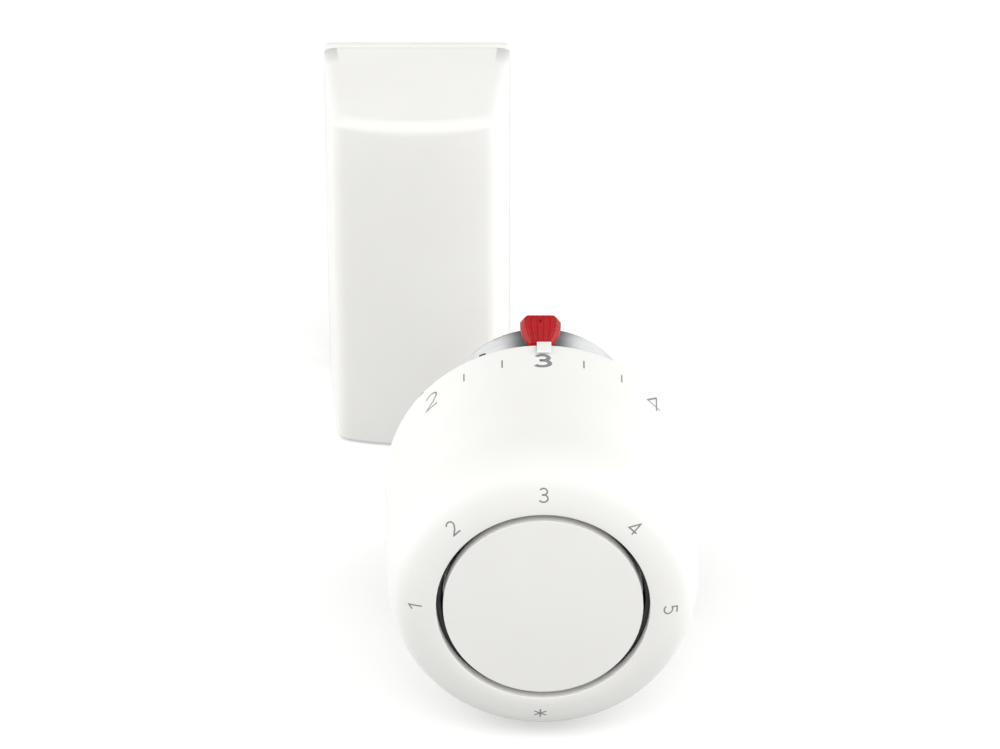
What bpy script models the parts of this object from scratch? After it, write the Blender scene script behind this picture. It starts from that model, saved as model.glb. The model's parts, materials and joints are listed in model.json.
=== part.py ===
"""Thermostatic radiator valve head with a numbered dial, and its remote room sensor.

The head lies with its axis along Y, the end cap towards -Y and the valve socket towards +Y.
The sensor box stands behind it. Both rest on z = 0, with the origin at the middle of their shared base.
"""

import math

import bmesh
import bpy

MM = 0.001

# Sides of the round pieces that show, of those inside, and of the small ones
SHOWN_SEGMENTS = 48
INNER_SEGMENTS = 32
SMALL_SEGMENTS = 20

# Clearances
GAP = 0.3 * MM
RUNNING_GAP = 0.4 * MM

# Dial
DIAL_LENGTH = 42.0 * MM
DIAL_BACK_RADIUS = 27.4 * MM
DIAL_TAPER = 1.0 * MM
DIAL_WALL = 2.2 * MM
CROWN_DEPTH = 12.0 * MM
CROWN_POWER = 2.3
CROWN_POINTS = 7
MOUTH_RADIUS = 18.0 * MM
FACE_WIDTH = 2.5 * MM
DOWN_TURN = math.radians(180)
UP_TURN = math.radians(90)

# End cap
CAP_GROOVE = 1.2 * MM
CAP_THICKNESS = 1.8 * MM
CAP_SPIGOT_WALL = 1.3 * MM
CAP_SPIGOT_LENGTH = 4.2 * MM

# Guide tube and its circlip
GUIDE_BORE = 13.0 * MM
GUIDE_WALL = 1.9 * MM
CIRCLIP_FRONT = 5.0 * MM
CIRCLIP_THICKNESS = 1.0 * MM
CIRCLIP_SEAT_DEPTH = 0.8 * MM
CIRCLIP_OPENING = math.radians(30)

# Two-start thread between the dial's ring and the carriage
THREAD_LEAD = 6.0 * MM
THREAD_STARTS = 2
RIB_WIDTH = 1.2 * MM
RIB_HEIGHT = 2.1 * MM
RING_WALL = 2.0 * MM
RING_FLANGE = 1.5 * MM
LAND_WIDTH = 1.2 * MM
LUG_HALF_ANGLE = math.radians(12)
SLOT_HALF_ANGLE = math.radians(16)
STOP_LUG_HALF_ANGLE = math.radians(14)
STOP_LUG_HEIGHT = 2.2 * MM
STOP_LUG_LENGTH = 3.0 * MM
STOP_MARGIN = math.radians(1)

# Carriage, bellows and pressure pin
CARRIAGE_FRONT = 14.0 * MM
CARRIAGE_WALL = 2.2 * MM
CARRIAGE_END_WALL = 1.6 * MM
LUG_SETBACK = 8.0 * MM
TRAVEL_MARGIN = 0.1 * MM
OVERTRAVEL_ROOM = 4.4 * MM
BELLOWS_LENGTH = 12.7 * MM
BELLOWS_FOLDS = 5
BELLOWS_FOLD_DEPTH = 2.6 * MM
BELLOWS_SKIN = 0.6 * MM
CAPILLARY_RADIUS = 0.9 * MM
PIN_RADIUS = 2.5 * MM
PIN_FLANGE_CLEARANCE = 1.8 * MM
PIN_FLANGE_THICKNESS = 1.5 * MM
PIN_TRAVEL = 2.5 * MM
PIN_REACH = 1.5 * MM
RETAINER_WIDTH = 2.6 * MM
RETAINER_THICKNESS = 1.0 * MM
RETAINER_SEAT_DEPTH = 0.5 * MM
SPRING_WIRE = 1.1 * MM
RETURN_SPRING_INSET = 2.4 * MM
RETURN_SPRING_TURNS = 5
OVERTRAVEL_WIRE = 0.9 * MM
OVERTRAVEL_TURNS = 3

# Base behind the dial, and the socket for the valve
FLANGE_THICKNESS = 2.0 * MM
NECK_LENGTH = 3.9 * MM
WEB_CLEARANCE = 4.0 * MM
WEB_THICKNESS = 2.0 * MM
HEAD_LENGTH = 68.5 * MM
SOCKET_RADIUS = 11.6 * MM
SOCKET_WALL = 3.4 * MM
FINGER_SLOTS = 3
FINGER_SLOT_WIDTH = 2.0 * MM
FINGER_SLOT_LENGTH = 9.0 * MM
LOCK_RING_SETBACK = 7.2 * MM
LOCK_RING_WIDTH = 1.4 * MM
LOCK_RING_SEAT_DEPTH = 1.3 * MM
LOCK_RING_OPENING = math.radians(60)
COLLAR_WALL = 1.8 * MM
COLLAR_SETBACK = 0.6 * MM
COLLAR_ROUNDING = 0.9 * MM

# Red release button on top of the collar
BUTTON_TRAVEL = 1.6 * MM
BUTTON_FRONT_WIDTH = 5.0 * MM
BUTTON_BACK_WIDTH = 7.2 * MM
BUTTON_LENGTH = 8.0 * MM
BUTTON_SETBACK = 3.0 * MM
BUTTON_RISE = 1.2 * MM
BUTTON_LIP = 0.25 * MM
BUTTON_FOOT_WIDTH = 4.4 * MM
BUTTON_FOOT_LENGTH = 6.0 * MM
BUTTON_SPRING_RADIUS = 1.2 * MM
BUTTON_SPRING_WIRE = 0.4 * MM

# Index pointer, limit pins and capillary gland on the flange
POINTER_WIDTH = 2.7 * MM
POINTER_THICKNESS = 0.45 * MM
POINTER_OVERHANG = 2.1 * MM
POINTER_FOOT = 1.5 * MM
POINTER_FOOT_DEPTH = 4.0 * MM
LIMIT_PIN_RADIUS = 1.0 * MM
LIMIT_PIN_HEAD_RADIUS = 1.7 * MM
LIMIT_PIN_LENGTH = 3.6 * MM
LIMIT_PIN_INSET = 1.8 * MM
LIMIT_PIN_ANGLES = {"limit_pin_low": math.radians(125), "limit_pin_high": math.radians(55)}
GLAND_RADIUS = 2.4 * MM
GLAND_TIP_RADIUS = 1.7 * MM
GLAND_LENGTH = 9.0 * MM

# Remote sensor box
SENSOR_HEIGHT = 68.0 * MM
SENSOR_DEPTH = 37.6 * MM
SENSOR_BACK_WIDTH = 35.8 * MM
SENSOR_FRONT_WIDTH = 30.3 * MM
SENSOR_BOW = 2.7 * MM
SENSOR_CORNER = 3.0 * MM
SENSOR_TOP_ROUNDING = 2.5 * MM
SENSOR_FOOT_ROUNDING = 1.0 * MM
SENSOR_WALL = 1.6 * MM
PLATE_THICKNESS = 2.5 * MM
PLATE_STEP = 2.5 * MM
KEYHOLE_RADIUS = 2.2 * MM
KEYHOLE_INSET = 10.0 * MM
KEYHOLE_OFFSET = 8.0 * MM
SPOOL_ROOM = 2.5 * MM
SPOOL_GROOVE = 3.5 * MM
SPOOL_LENGTH = 7.6 * MM
SPOOL_FLANGE = 1.2 * MM
BULB_RADIUS = 4.2 * MM
BULB_END_ROOM = 11.0 * MM
CLIP_WALL = 1.2 * MM
CLIP_HEIGHT = 6.0 * MM
CLIP_INSET = 3.0 * MM
CLIP_HALF_ANGLE = math.radians(125)
GROMMET_RADIUS = 2.4 * MM
GROMMET_HEIGHT = 3.4 * MM
GROMMET_LIFT = 0.5 * MM

# Where the two units stand
SENSOR_OFFSET = -23.1 * MM
OVERALL_DEPTH = 139.9 * MM

# Radii that follow from the values above
CAP_RADIUS = MOUTH_RADIUS - CAP_GROOVE
GUIDE_RADIUS = GUIDE_BORE + GUIDE_WALL
CIRCLIP_SEAT = GUIDE_RADIUS - CIRCLIP_SEAT_DEPTH
LAND_RADIUS = GUIDE_RADIUS + GAP
RING_BORE = LAND_RADIUS + RIB_HEIGHT
RING_RADIUS = RING_BORE + RING_WALL
CARRIAGE_RADIUS = GUIDE_BORE - RUNNING_GAP
CARRIAGE_BORE = CARRIAGE_RADIUS - CARRIAGE_WALL
LUG_RADIUS = RING_BORE - RUNNING_GAP
BELLOWS_RADIUS = CARRIAGE_BORE - 2 * RUNNING_GAP
PIN_FLANGE_RADIUS = CARRIAGE_BORE - PIN_FLANGE_CLEARANCE
RETURN_SPRING_RADIUS = PIN_FLANGE_RADIUS - RETURN_SPRING_INSET
SLEEVE_RADIUS = SOCKET_RADIUS + SOCKET_WALL
COLLAR_BORE = SLEEVE_RADIUS + GAP
COLLAR_RADIUS = COLLAR_BORE + COLLAR_WALL
FLANGE_RADIUS = DIAL_BACK_RADIUS - DIAL_WALL
POINTER_RADIUS = DIAL_BACK_RADIUS + GAP
LIMIT_PIN_PLACE = FLANGE_RADIUS - LIMIT_PIN_INSET
GLAND_PLACE = COLLAR_RADIUS + GLAND_RADIUS + 2 * GAP

# The bulb fills the box, less the room at its ends, and the spool fits between its clips
BULB_LENGTH = SENSOR_HEIGHT - 2 * BULB_END_ROOM
SPOOL_RADIUS = BULB_LENGTH / 2 - CLIP_INSET - CLIP_HEIGHT - SPOOL_ROOM
SPOOL_HUB_RADIUS = SPOOL_RADIUS - SPOOL_GROOVE

# Stations behind the front face that follow from the values above
GUIDE_FRONT = CAP_THICKNESS + GAP
CIRCLIP_BACK = CIRCLIP_FRONT + CIRCLIP_THICKNESS
RING_FRONT = DIAL_WALL + GAP
RING_BACK = DIAL_LENGTH - STOP_LUG_LENGTH
LUG_STATION = CARRIAGE_FRONT + LUG_SETBACK
THREAD_PITCH = THREAD_LEAD / THREAD_STARTS
TRAVEL_BACK = THREAD_LEAD * DOWN_TURN / math.tau + TRAVEL_MARGIN
BELLOWS_FRONT = CARRIAGE_FRONT + CARRIAGE_END_WALL + OVERTRAVEL_ROOM
BELLOWS_BACK = BELLOWS_FRONT + BELLOWS_LENGTH
PIN_FLANGE_FRONT = BELLOWS_BACK + GAP
PIN_FLANGE_BACK = PIN_FLANGE_FRONT + PIN_FLANGE_THICKNESS
RETAINER_FRONT = PIN_FLANGE_BACK + PIN_TRAVEL + 2 * GAP
RETAINER_BACK = RETAINER_FRONT + RETAINER_THICKNESS
CARRIAGE_BACK = RETAINER_BACK + 3 * GAP
WEB_FRONT = CARRIAGE_BACK + TRAVEL_BACK + WEB_CLEARANCE
WEB_BACK = WEB_FRONT + WEB_THICKNESS
PIN_BACK = WEB_BACK + PIN_REACH
FLANGE_FRONT = DIAL_LENGTH + RUNNING_GAP
FLANGE_BACK = FLANGE_FRONT + FLANGE_THICKNESS
NECK_BACK = FLANGE_BACK + NECK_LENGTH
COLLAR_FRONT = NECK_BACK + GAP
COLLAR_BACK = HEAD_LENGTH - COLLAR_SETBACK
BUTTON_BACK = HEAD_LENGTH - BUTTON_SETBACK
BUTTON_FRONT = BUTTON_BACK - BUTTON_LENGTH
BUTTON_MIDDLE = (BUTTON_FRONT + BUTTON_BACK) / 2
BUTTON_UNDERSIDE = COLLAR_RADIUS + BUTTON_TRAVEL + GAP
LOCK_RING_BACK = HEAD_LENGTH - LOCK_RING_SETBACK
LOCK_RING_FRONT = LOCK_RING_BACK - LOCK_RING_WIDTH

# Where the two units stand, from the middle of the shared base
SENSOR_HALF_WIDTH = SENSOR_BACK_WIDTH / 2
HEAD_X = -(SENSOR_OFFSET - SENSOR_HALF_WIDTH + DIAL_BACK_RADIUS) / 2
HEAD_Z = DIAL_BACK_RADIUS
FRONT_Y = -OVERALL_DEPTH / 2
SENSOR_X = HEAD_X + SENSOR_OFFSET
WALL_Y = OVERALL_DEPTH / 2


# ---------------------------------------------------------------- materials and objects


def clear_scene():
    for leftover in list(bpy.data.objects):
        bpy.data.objects.remove(leftover, do_unlink=True)


def material(name, colour, roughness, metallic=0.0):
    made = bpy.data.materials.new(name)
    made.use_nodes = True
    shader = made.node_tree.nodes["Principled BSDF"]
    shader.inputs["Base Color"].default_value = (*colour, 1)
    shader.inputs["Roughness"].default_value = roughness
    shader.inputs["Metallic"].default_value = metallic
    return made


def make_materials():
    return {
        "white": material("white_plastic", (0.87, 0.86, 0.83), 0.35),
        "grey": material("grey_plastic", (0.42, 0.43, 0.44), 0.5),
        "red": material("red_plastic", (0.6, 0.01, 0.01), 0.25),
        "nickel": material("nickel_plate", (0.62, 0.62, 0.63), 0.25, 1.0),
        "steel": material("spring_steel", (0.5, 0.5, 0.52), 0.35, 1.0),
        "brass": material("brass", (0.72, 0.52, 0.22), 0.3, 1.0),
        "copper": material("copper", (0.72, 0.36, 0.22), 0.35, 1.0),
        "rubber": material("black_rubber", (0.03, 0.03, 0.03), 0.7),
    }


def empty(name, place, parent=None):
    made = bpy.data.objects.new(name, None)
    made.location = place
    made.parent = parent
    bpy.context.collection.objects.link(made)
    return made


def add_object(name, bm, surface, parent):
    """One named sub-part from a finished bmesh, which it frees."""
    bmesh.ops.recalc_face_normals(bm, faces=bm.faces)
    mesh = bpy.data.meshes.new(name)
    bm.to_mesh(mesh)
    bm.free()
    mesh.shade_smooth()
    mesh.set_sharp_from_angle(angle=math.radians(35))
    mesh.materials.append(surface)
    made = bpy.data.objects.new(name, mesh)
    made.parent = parent
    bpy.context.collection.objects.link(made)
    return made


def combine(target, operation, tool_bm):
    """Cuts a shape from an object, or joins it on, with a Boolean whose tool stays out of renders."""
    name = f"{target.name}_tool_{len(target.modifiers)}"
    tool = add_object(name, tool_bm, target.data.materials[0], target.parent)
    tool.hide_render = True
    tool.display_type = "WIRE"
    modifier = target.modifiers.new(name, "BOOLEAN")
    modifier.operation = operation
    modifier.object = tool


# ---------------------------------------------------------------- shapes


def polar(radius, angle, along):
    """A point about the head's axis. Angles run from +X up towards +Z."""
    return (radius * math.cos(angle), along, radius * math.sin(angle))


def turned(outline, segments, closed=True):
    """A (station, radius) outline spun about Y. An open one starts and ends on the axis."""
    bm = bmesh.new()
    verts = [bm.verts.new((radius, along, 0)) for along, radius in outline]
    edges = [bm.edges.new(pair) for pair in zip(verts, verts[1:])]
    if closed:
        edges.append(bm.edges.new((verts[-1], verts[0])))
    bmesh.ops.spin(
        bm, geom=verts + edges, axis=(0, 1, 0), cent=(0, 0, 0), angle=math.tau, steps=segments, use_merge=True
    )
    bmesh.ops.remove_doubles(bm, verts=bm.verts, dist=0.01 * MM)
    return bm


def loft(rings):
    """A solid skinned over rings that have equal numbers of points, with flat ends."""
    bm = bmesh.new()
    loops = [[bm.verts.new(point) for point in ring] for ring in rings]
    for near, far in zip(loops, loops[1:]):
        for i in range(len(near)):
            j = (i + 1) % len(near)
            bm.faces.new((near[i], near[j], far[j], far[i]))
    bm.faces.new(loops[0])
    bm.faces.new(loops[-1][::-1])
    bmesh.ops.recalc_face_normals(bm, faces=bm.faces)
    return bm


def arc_steps(start, end):
    count = max(2, math.ceil((end - start) / math.tau * INNER_SEGMENTS))
    return [start + (end - start) * i / count for i in range(count + 1)]


def arc_block(inner, outer, start, end, front, back, lead=0.0):
    """A block bent round the axis. With a lead it climbs as a thread does, from its stations at angle 0."""

    def ring(angle):
        climb = lead * angle / math.tau
        corners = ((inner, front), (outer, front), (outer, back), (inner, back))
        return [polar(radius, angle, along + climb) for radius, along in corners]

    return loft([ring(angle) for angle in arc_steps(start, end)])


def box(low, high):
    (x0, y0, z0), (x1, y1, z1) = low, high
    base = ((x0, y0), (x1, y0), (x1, y1), (x0, y1))
    return loft([[(x, y, z) for x, y in base] for z in (z0, z1)])


def cylinder(radius, start, end, direction):
    """A plain round bar between two points along one axis, 0 for X, 1 for Y and 2 for Z."""
    first, second = [i for i in range(3) if i != direction]
    rings = []
    for place in (start, end):
        ring = []
        for step in range(SMALL_SEGMENTS):
            angle = math.tau * step / SMALL_SEGMENTS
            point = list(place)
            point[first] += radius * math.cos(angle)
            point[second] += radius * math.sin(angle)
            ring.append(point)
        rings.append(ring)
    return loft(rings)


def wire(name, points, radius, surface, parent):
    """A round wire or tube along a list of points."""
    curve = bpy.data.curves.new(name, "CURVE")
    curve.dimensions = "3D"
    curve.bevel_depth = radius
    curve.bevel_resolution = 1
    curve.use_fill_caps = True
    spline = curve.splines.new("POLY")
    spline.points.add(len(points) - 1)
    for point, place in zip(spline.points, points):
        point.co = (*place, 1)
    curve.materials.append(surface)
    made = bpy.data.objects.new(name, curve)
    made.parent = parent
    bpy.context.collection.objects.link(made)
    return made


def spring_points(radius, turns, length):
    """A helix about Y that starts at y = 0."""
    per_turn = 12
    count = turns * per_turn
    return [polar(radius, math.tau * i / per_turn, length * i / count) for i in range(count + 1)]


# ---------------------------------------------------------------- dial


def dial_skin(inset):
    """The dial's outer (station, radius) line from its face to its back edge, moved in by a wall."""
    face = MOUTH_RADIUS + FACE_WIDTH
    side = DIAL_BACK_RADIUS - DIAL_TAPER
    line = []
    for step in range(CROWN_POINTS + 1):
        turn = math.pi / 2 * step / CROWN_POINTS
        out = math.sin(turn) ** (2 / CROWN_POWER)
        back = 1 - math.cos(turn) ** (2 / CROWN_POWER)
        radius = face + (side - inset - face) * out
        line.append((inset + (CROWN_DEPTH - inset) * back, radius))
    line.append((DIAL_LENGTH, DIAL_BACK_RADIUS - inset))
    return line


def setting_dial(surface, parent):
    outside = dial_skin(0)
    inside = dial_skin(DIAL_WALL)
    outline = [(0, MOUTH_RADIUS), *outside, *inside[::-1], (DIAL_WALL, MOUTH_RADIUS)]
    return add_object("setting_dial", turned(outline, SHOWN_SEGMENTS), surface, parent)


def setting_ring(surface, parent):
    """The threaded ring inside the dial, with two bearing lands and the stop lug."""
    land = CIRCLIP_BACK + 2 * GAP
    flange = RING_RADIUS + RING_FLANGE
    outline = [
        (RING_FRONT, RING_BORE),
        (RING_FRONT, flange),
        (RING_FRONT + RING_FLANGE, flange),
        (RING_FRONT + RING_FLANGE, RING_RADIUS),
        (RING_BACK, RING_RADIUS),
        (RING_BACK, LAND_RADIUS),
        (RING_BACK - LAND_WIDTH, LAND_RADIUS),
        (RING_BACK - LAND_WIDTH, RING_BORE),
        (land + LAND_WIDTH, RING_BORE),
        (land + LAND_WIDTH, LAND_RADIUS),
        (land, LAND_RADIUS),
        (land, RING_BORE),
    ]
    ring = add_object("setting_ring", turned(outline, INNER_SEGMENTS), surface, parent)
    reach = LUG_HALF_ANGLE + math.radians(3)
    for start in range(THREAD_STARTS):
        # Each rib runs from ahead of one lug at the highest setting to behind the next lug at the lowest.
        phase = math.tau * start / THREAD_STARTS
        first = -UP_TURN - reach
        last = DOWN_TURN + math.tau / THREAD_STARTS + reach
        front = LUG_STATION - (THREAD_PITCH + RIB_WIDTH) / 2
        rib = arc_block(LAND_RADIUS, RING_BORE + GAP, first, last, front, front + RIB_WIDTH, THREAD_LEAD)
        turn_about_axis(rib, phase)
        combine(ring, "UNION", rib)
    lug = arc_block(
        RING_RADIUS - GAP,
        RING_RADIUS + STOP_LUG_HEIGHT,
        math.pi / 2 - STOP_LUG_HALF_ANGLE,
        math.pi / 2 + STOP_LUG_HALF_ANGLE,
        RING_BACK - STOP_LUG_LENGTH,
        RING_BACK - GAP,
    )
    combine(ring, "UNION", lug)
    return ring


def turn_about_axis(bm, angle):
    for vert in bm.verts:
        x, y, z = vert.co
        vert.co = (x * math.cos(angle) - z * math.sin(angle), y, x * math.sin(angle) + z * math.cos(angle))


# ---------------------------------------------------------------- base


def base_housing(surface, parent):
    """Guide tube, rear flange, neck, pin web and the split sleeve that goes over the valve."""
    lock_seat = SOCKET_RADIUS + LOCK_RING_SEAT_DEPTH
    pin_bore = PIN_RADIUS + RUNNING_GAP
    outline = [
        (GUIDE_FRONT, GUIDE_BORE),
        (GUIDE_FRONT, GUIDE_RADIUS),
        (CIRCLIP_FRONT - GAP, GUIDE_RADIUS),
        (CIRCLIP_FRONT - GAP, CIRCLIP_SEAT),
        (CIRCLIP_BACK + GAP, CIRCLIP_SEAT),
        (CIRCLIP_BACK + GAP, GUIDE_RADIUS),
        (FLANGE_FRONT, GUIDE_RADIUS),
        (FLANGE_FRONT, FLANGE_RADIUS),
        (FLANGE_BACK, FLANGE_RADIUS),
        (FLANGE_BACK, COLLAR_RADIUS),
        (NECK_BACK, COLLAR_RADIUS),
        (NECK_BACK, SLEEVE_RADIUS),
        (HEAD_LENGTH, SLEEVE_RADIUS),
        (HEAD_LENGTH, SOCKET_RADIUS),
        (LOCK_RING_BACK + GAP, SOCKET_RADIUS),
        (LOCK_RING_BACK + GAP, lock_seat),
        (LOCK_RING_FRONT - GAP, lock_seat),
        (LOCK_RING_FRONT - GAP, SOCKET_RADIUS),
        (WEB_BACK, SOCKET_RADIUS),
        (WEB_BACK, pin_bore),
        (WEB_FRONT, pin_bore),
        (WEB_FRONT, GUIDE_BORE),
    ]
    base = add_object("base_housing", turned(outline, INNER_SEGMENTS), surface, parent)
    combine(base, "UNION", stop_block())
    combine(base, "DIFFERENCE", lug_slots())
    for place in range(FINGER_SLOTS):
        combine(base, "DIFFERENCE", finger_slot(math.pi / 2 + math.tau * (place + 0.5) / FINGER_SLOTS))
    for angle in LIMIT_PIN_ANGLES.values():
        x, _, z = polar(LIMIT_PIN_PLACE, angle, 0)
        hole = cylinder(LIMIT_PIN_RADIUS + GAP, (x, FLANGE_FRONT - MM, z), (x, FLANGE_BACK + MM, z), 1)
        combine(base, "DIFFERENCE", hole)
    return base


def stop_block():
    """The block on the flange that the dial's stop lug meets at each end of its turn."""
    room = math.tau - DOWN_TURN - UP_TURN - 2 * STOP_MARGIN
    half = room / 2 - STOP_LUG_HALF_ANGLE
    middle = math.pi / 2 + UP_TURN + STOP_MARGIN + STOP_LUG_HALF_ANGLE + half
    return arc_block(
        RING_RADIUS + 2 * GAP,
        RING_RADIUS + STOP_LUG_HEIGHT + 2 * GAP,
        middle - half,
        middle + half,
        RING_BACK - STOP_LUG_LENGTH,
        FLANGE_FRONT + FLANGE_THICKNESS / 2,
    )


def lug_slots():
    """One bar across the guide tube cuts both slots that the carriage's lugs slide in."""
    half = GUIDE_RADIUS * math.sin(SLOT_HALF_ANGLE)
    climb = THREAD_LEAD * LUG_HALF_ANGLE / math.tau
    reach = RIB_WIDTH / 2 + climb + 2 * GAP
    front = LUG_STATION - THREAD_LEAD * UP_TURN / math.tau - TRAVEL_MARGIN - reach
    back = LUG_STATION + TRAVEL_BACK + reach
    return box((-GUIDE_RADIUS - MM, front, -half), (GUIDE_RADIUS + MM, back, half))


def finger_slot(angle):
    """A slot through the sleeve's wall, open at the back, that leaves a springy finger on each side."""
    inner = SOCKET_RADIUS - MM
    outer = SLEEVE_RADIUS + MM
    half = FINGER_SLOT_WIDTH / 2
    slot = box((inner, HEAD_LENGTH - FINGER_SLOT_LENGTH, -half), (outer, HEAD_LENGTH + MM, half))
    turn_about_axis(slot, angle)
    return slot


def end_cap(surface, parent):
    spigot = GUIDE_BORE - GAP
    back = CAP_THICKNESS + CAP_SPIGOT_LENGTH
    chamfer = GAP
    outline = [
        (0, 0),
        (0, CAP_RADIUS - chamfer),
        (chamfer, CAP_RADIUS),
        (CAP_THICKNESS, CAP_RADIUS),
        (CAP_THICKNESS, spigot),
        (back, spigot),
        (back, spigot - CAP_SPIGOT_WALL),
        (CAP_THICKNESS, spigot - CAP_SPIGOT_WALL),
        (CAP_THICKNESS, 0),
    ]
    return add_object("end_cap", turned(outline, SHOWN_SEGMENTS, closed=False), surface, parent)


def dial_retainer(surface, parent):
    """The circlip on the guide tube that holds the dial on."""
    half = CIRCLIP_OPENING / 2
    clip = arc_block(
        CIRCLIP_SEAT + GAP,
        RING_BORE - RUNNING_GAP,
        -math.pi / 2 + half,
        math.tau - math.pi / 2 - half,
        CIRCLIP_FRONT,
        CIRCLIP_BACK,
    )
    return add_object("dial_retainer", clip, surface, parent)


def coupling_collar(surface, parent):
    turn = [math.radians(degrees) for degrees in (0, 30, 60, 90)]
    rounded = [
        (
            COLLAR_BACK - COLLAR_ROUNDING * (1 - math.sin(angle)),
            COLLAR_RADIUS - COLLAR_ROUNDING * (1 - math.cos(angle)),
        )
        for angle in turn
    ]
    front = [(COLLAR_FRONT, COLLAR_BORE), (COLLAR_FRONT, COLLAR_RADIUS)]
    outline = [*front, *rounded, (COLLAR_BACK, COLLAR_BORE)]
    collar = add_object("coupling_collar", turned(outline, SHOWN_SEGMENTS), surface, parent)
    half_width = BUTTON_FOOT_WIDTH / 2 + GAP
    half_length = BUTTON_FOOT_LENGTH / 2 + GAP
    window = box(
        (-half_width, BUTTON_MIDDLE - half_length, COLLAR_BORE - MM),
        (half_width, BUTTON_MIDDLE + half_length, COLLAR_RADIUS + MM),
    )
    combine(collar, "DIFFERENCE", window)
    return collar


def lock_ring(surface, parent):
    """The split spring ring in the socket that snaps into the valve's groove."""
    half = LOCK_RING_OPENING / 2
    ring = arc_block(
        SOCKET_RADIUS + GAP,
        SOCKET_RADIUS + LOCK_RING_SEAT_DEPTH - GAP,
        -math.pi / 2 + half,
        math.tau - math.pi / 2 - half,
        LOCK_RING_FRONT,
        LOCK_RING_BACK,
    )
    return add_object("lock_ring", ring, surface, parent)


def index_pointer(surface, parent):
    """The white mark over the dial's back edge, hooked on behind the flange."""
    top = POINTER_RADIUS + POINTER_THICKNESS
    tip = DIAL_LENGTH - POINTER_OVERHANG
    foot_front = FLANGE_BACK + GAP
    foot_back = foot_front + POINTER_FOOT
    side = [
        (tip, POINTER_RADIUS),
        (tip, POINTER_RADIUS + POINTER_THICKNESS / 2),
        (tip + POINTER_THICKNESS / 2, top),
        (FLANGE_FRONT, top),
        (foot_back, FLANGE_RADIUS + GAP),
        (foot_back, FLANGE_RADIUS - POINTER_FOOT_DEPTH),
        (foot_front, FLANGE_RADIUS - POINTER_FOOT_DEPTH),
        (foot_front, FLANGE_RADIUS + GAP),
        (FLANGE_FRONT, POINTER_RADIUS),
    ]
    half = POINTER_WIDTH / 2
    rings = [[(x, along, radius) for along, radius in side] for x in (-half, half)]
    return add_object("index_pointer", loft(rings), surface, parent)


def limit_pin(name, angle, surface, parent):
    """A pin kept in the flange, which is moved to a dial number to limit or lock the setting."""
    head = FLANGE_BACK + GAP
    outline = [
        (FLANGE_FRONT - LIMIT_PIN_LENGTH + FLANGE_THICKNESS, 0),
        (FLANGE_FRONT - LIMIT_PIN_LENGTH + FLANGE_THICKNESS, LIMIT_PIN_RADIUS),
        (head, LIMIT_PIN_RADIUS),
        (head, LIMIT_PIN_HEAD_RADIUS),
        (head + LIMIT_PIN_RADIUS, LIMIT_PIN_HEAD_RADIUS),
        (head + LIMIT_PIN_RADIUS, 0),
    ]
    pin = add_object(name, turned(outline, SMALL_SEGMENTS, closed=False), surface, parent)
    pin.location = polar(LIMIT_PIN_PLACE, angle, 0)
    return pin


def head_gland(surface, parent):
    """The strain relief where the capillary enters the head, low on the flange."""
    front = FLANGE_BACK + GAP
    back = front + GLAND_LENGTH
    hole = CAPILLARY_RADIUS + GAP
    outline = [
        (front, 0),
        (front, GLAND_RADIUS),
        (front + GLAND_RADIUS, GLAND_RADIUS),
        (back, GLAND_TIP_RADIUS),
        (back, hole),
        (front + GLAND_RADIUS, hole),
        (front + GLAND_RADIUS, 0),
    ]
    gland = add_object("head_gland", turned(outline, SMALL_SEGMENTS, closed=False), surface, parent)
    gland.location = polar(GLAND_PLACE, -math.pi / 2, 0)
    return gland


# ---------------------------------------------------------------- carriage and pin


def bellows_carriage(surface, parent):
    """The cup that carries the bellows, with two thread lugs through the guide tube's slots."""
    seat = CARRIAGE_BORE + RETAINER_SEAT_DEPTH
    hole = CAPILLARY_RADIUS + GAP
    inside = CARRIAGE_FRONT + CARRIAGE_END_WALL
    outline = [
        (CARRIAGE_FRONT, hole),
        (CARRIAGE_FRONT, CARRIAGE_RADIUS),
        (CARRIAGE_BACK, CARRIAGE_RADIUS),
        (CARRIAGE_BACK, CARRIAGE_BORE),
        (RETAINER_BACK + GAP, CARRIAGE_BORE),
        (RETAINER_BACK + GAP, seat),
        (RETAINER_FRONT - GAP, seat),
        (RETAINER_FRONT - GAP, CARRIAGE_BORE),
        (inside, CARRIAGE_BORE),
        (inside, hole),
    ]
    cup = add_object("bellows_carriage", turned(outline, INNER_SEGMENTS), surface, parent)
    for start in range(THREAD_STARTS):
        lug = arc_block(
            CARRIAGE_RADIUS - 2 * GAP,
            LUG_RADIUS,
            -LUG_HALF_ANGLE,
            LUG_HALF_ANGLE,
            LUG_STATION - RIB_WIDTH / 2,
            LUG_STATION + RIB_WIDTH / 2,
            THREAD_LEAD,
        )
        turn_about_axis(lug, math.tau * start / THREAD_STARTS)
        combine(cup, "UNION", lug)
    return cup


def carriage_retainer(surface, parent):
    """The snap ring that keeps the pressure pin and bellows in the cup."""
    outer = CARRIAGE_BORE + RETAINER_SEAT_DEPTH - GAP
    half = CIRCLIP_OPENING / 2
    ring = arc_block(
        outer - RETAINER_WIDTH,
        outer,
        math.pi / 2 + half,
        math.pi / 2 + math.tau - half,
        RETAINER_FRONT,
        RETAINER_BACK,
    )
    return add_object("carriage_retainer", ring, surface, parent)


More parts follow.
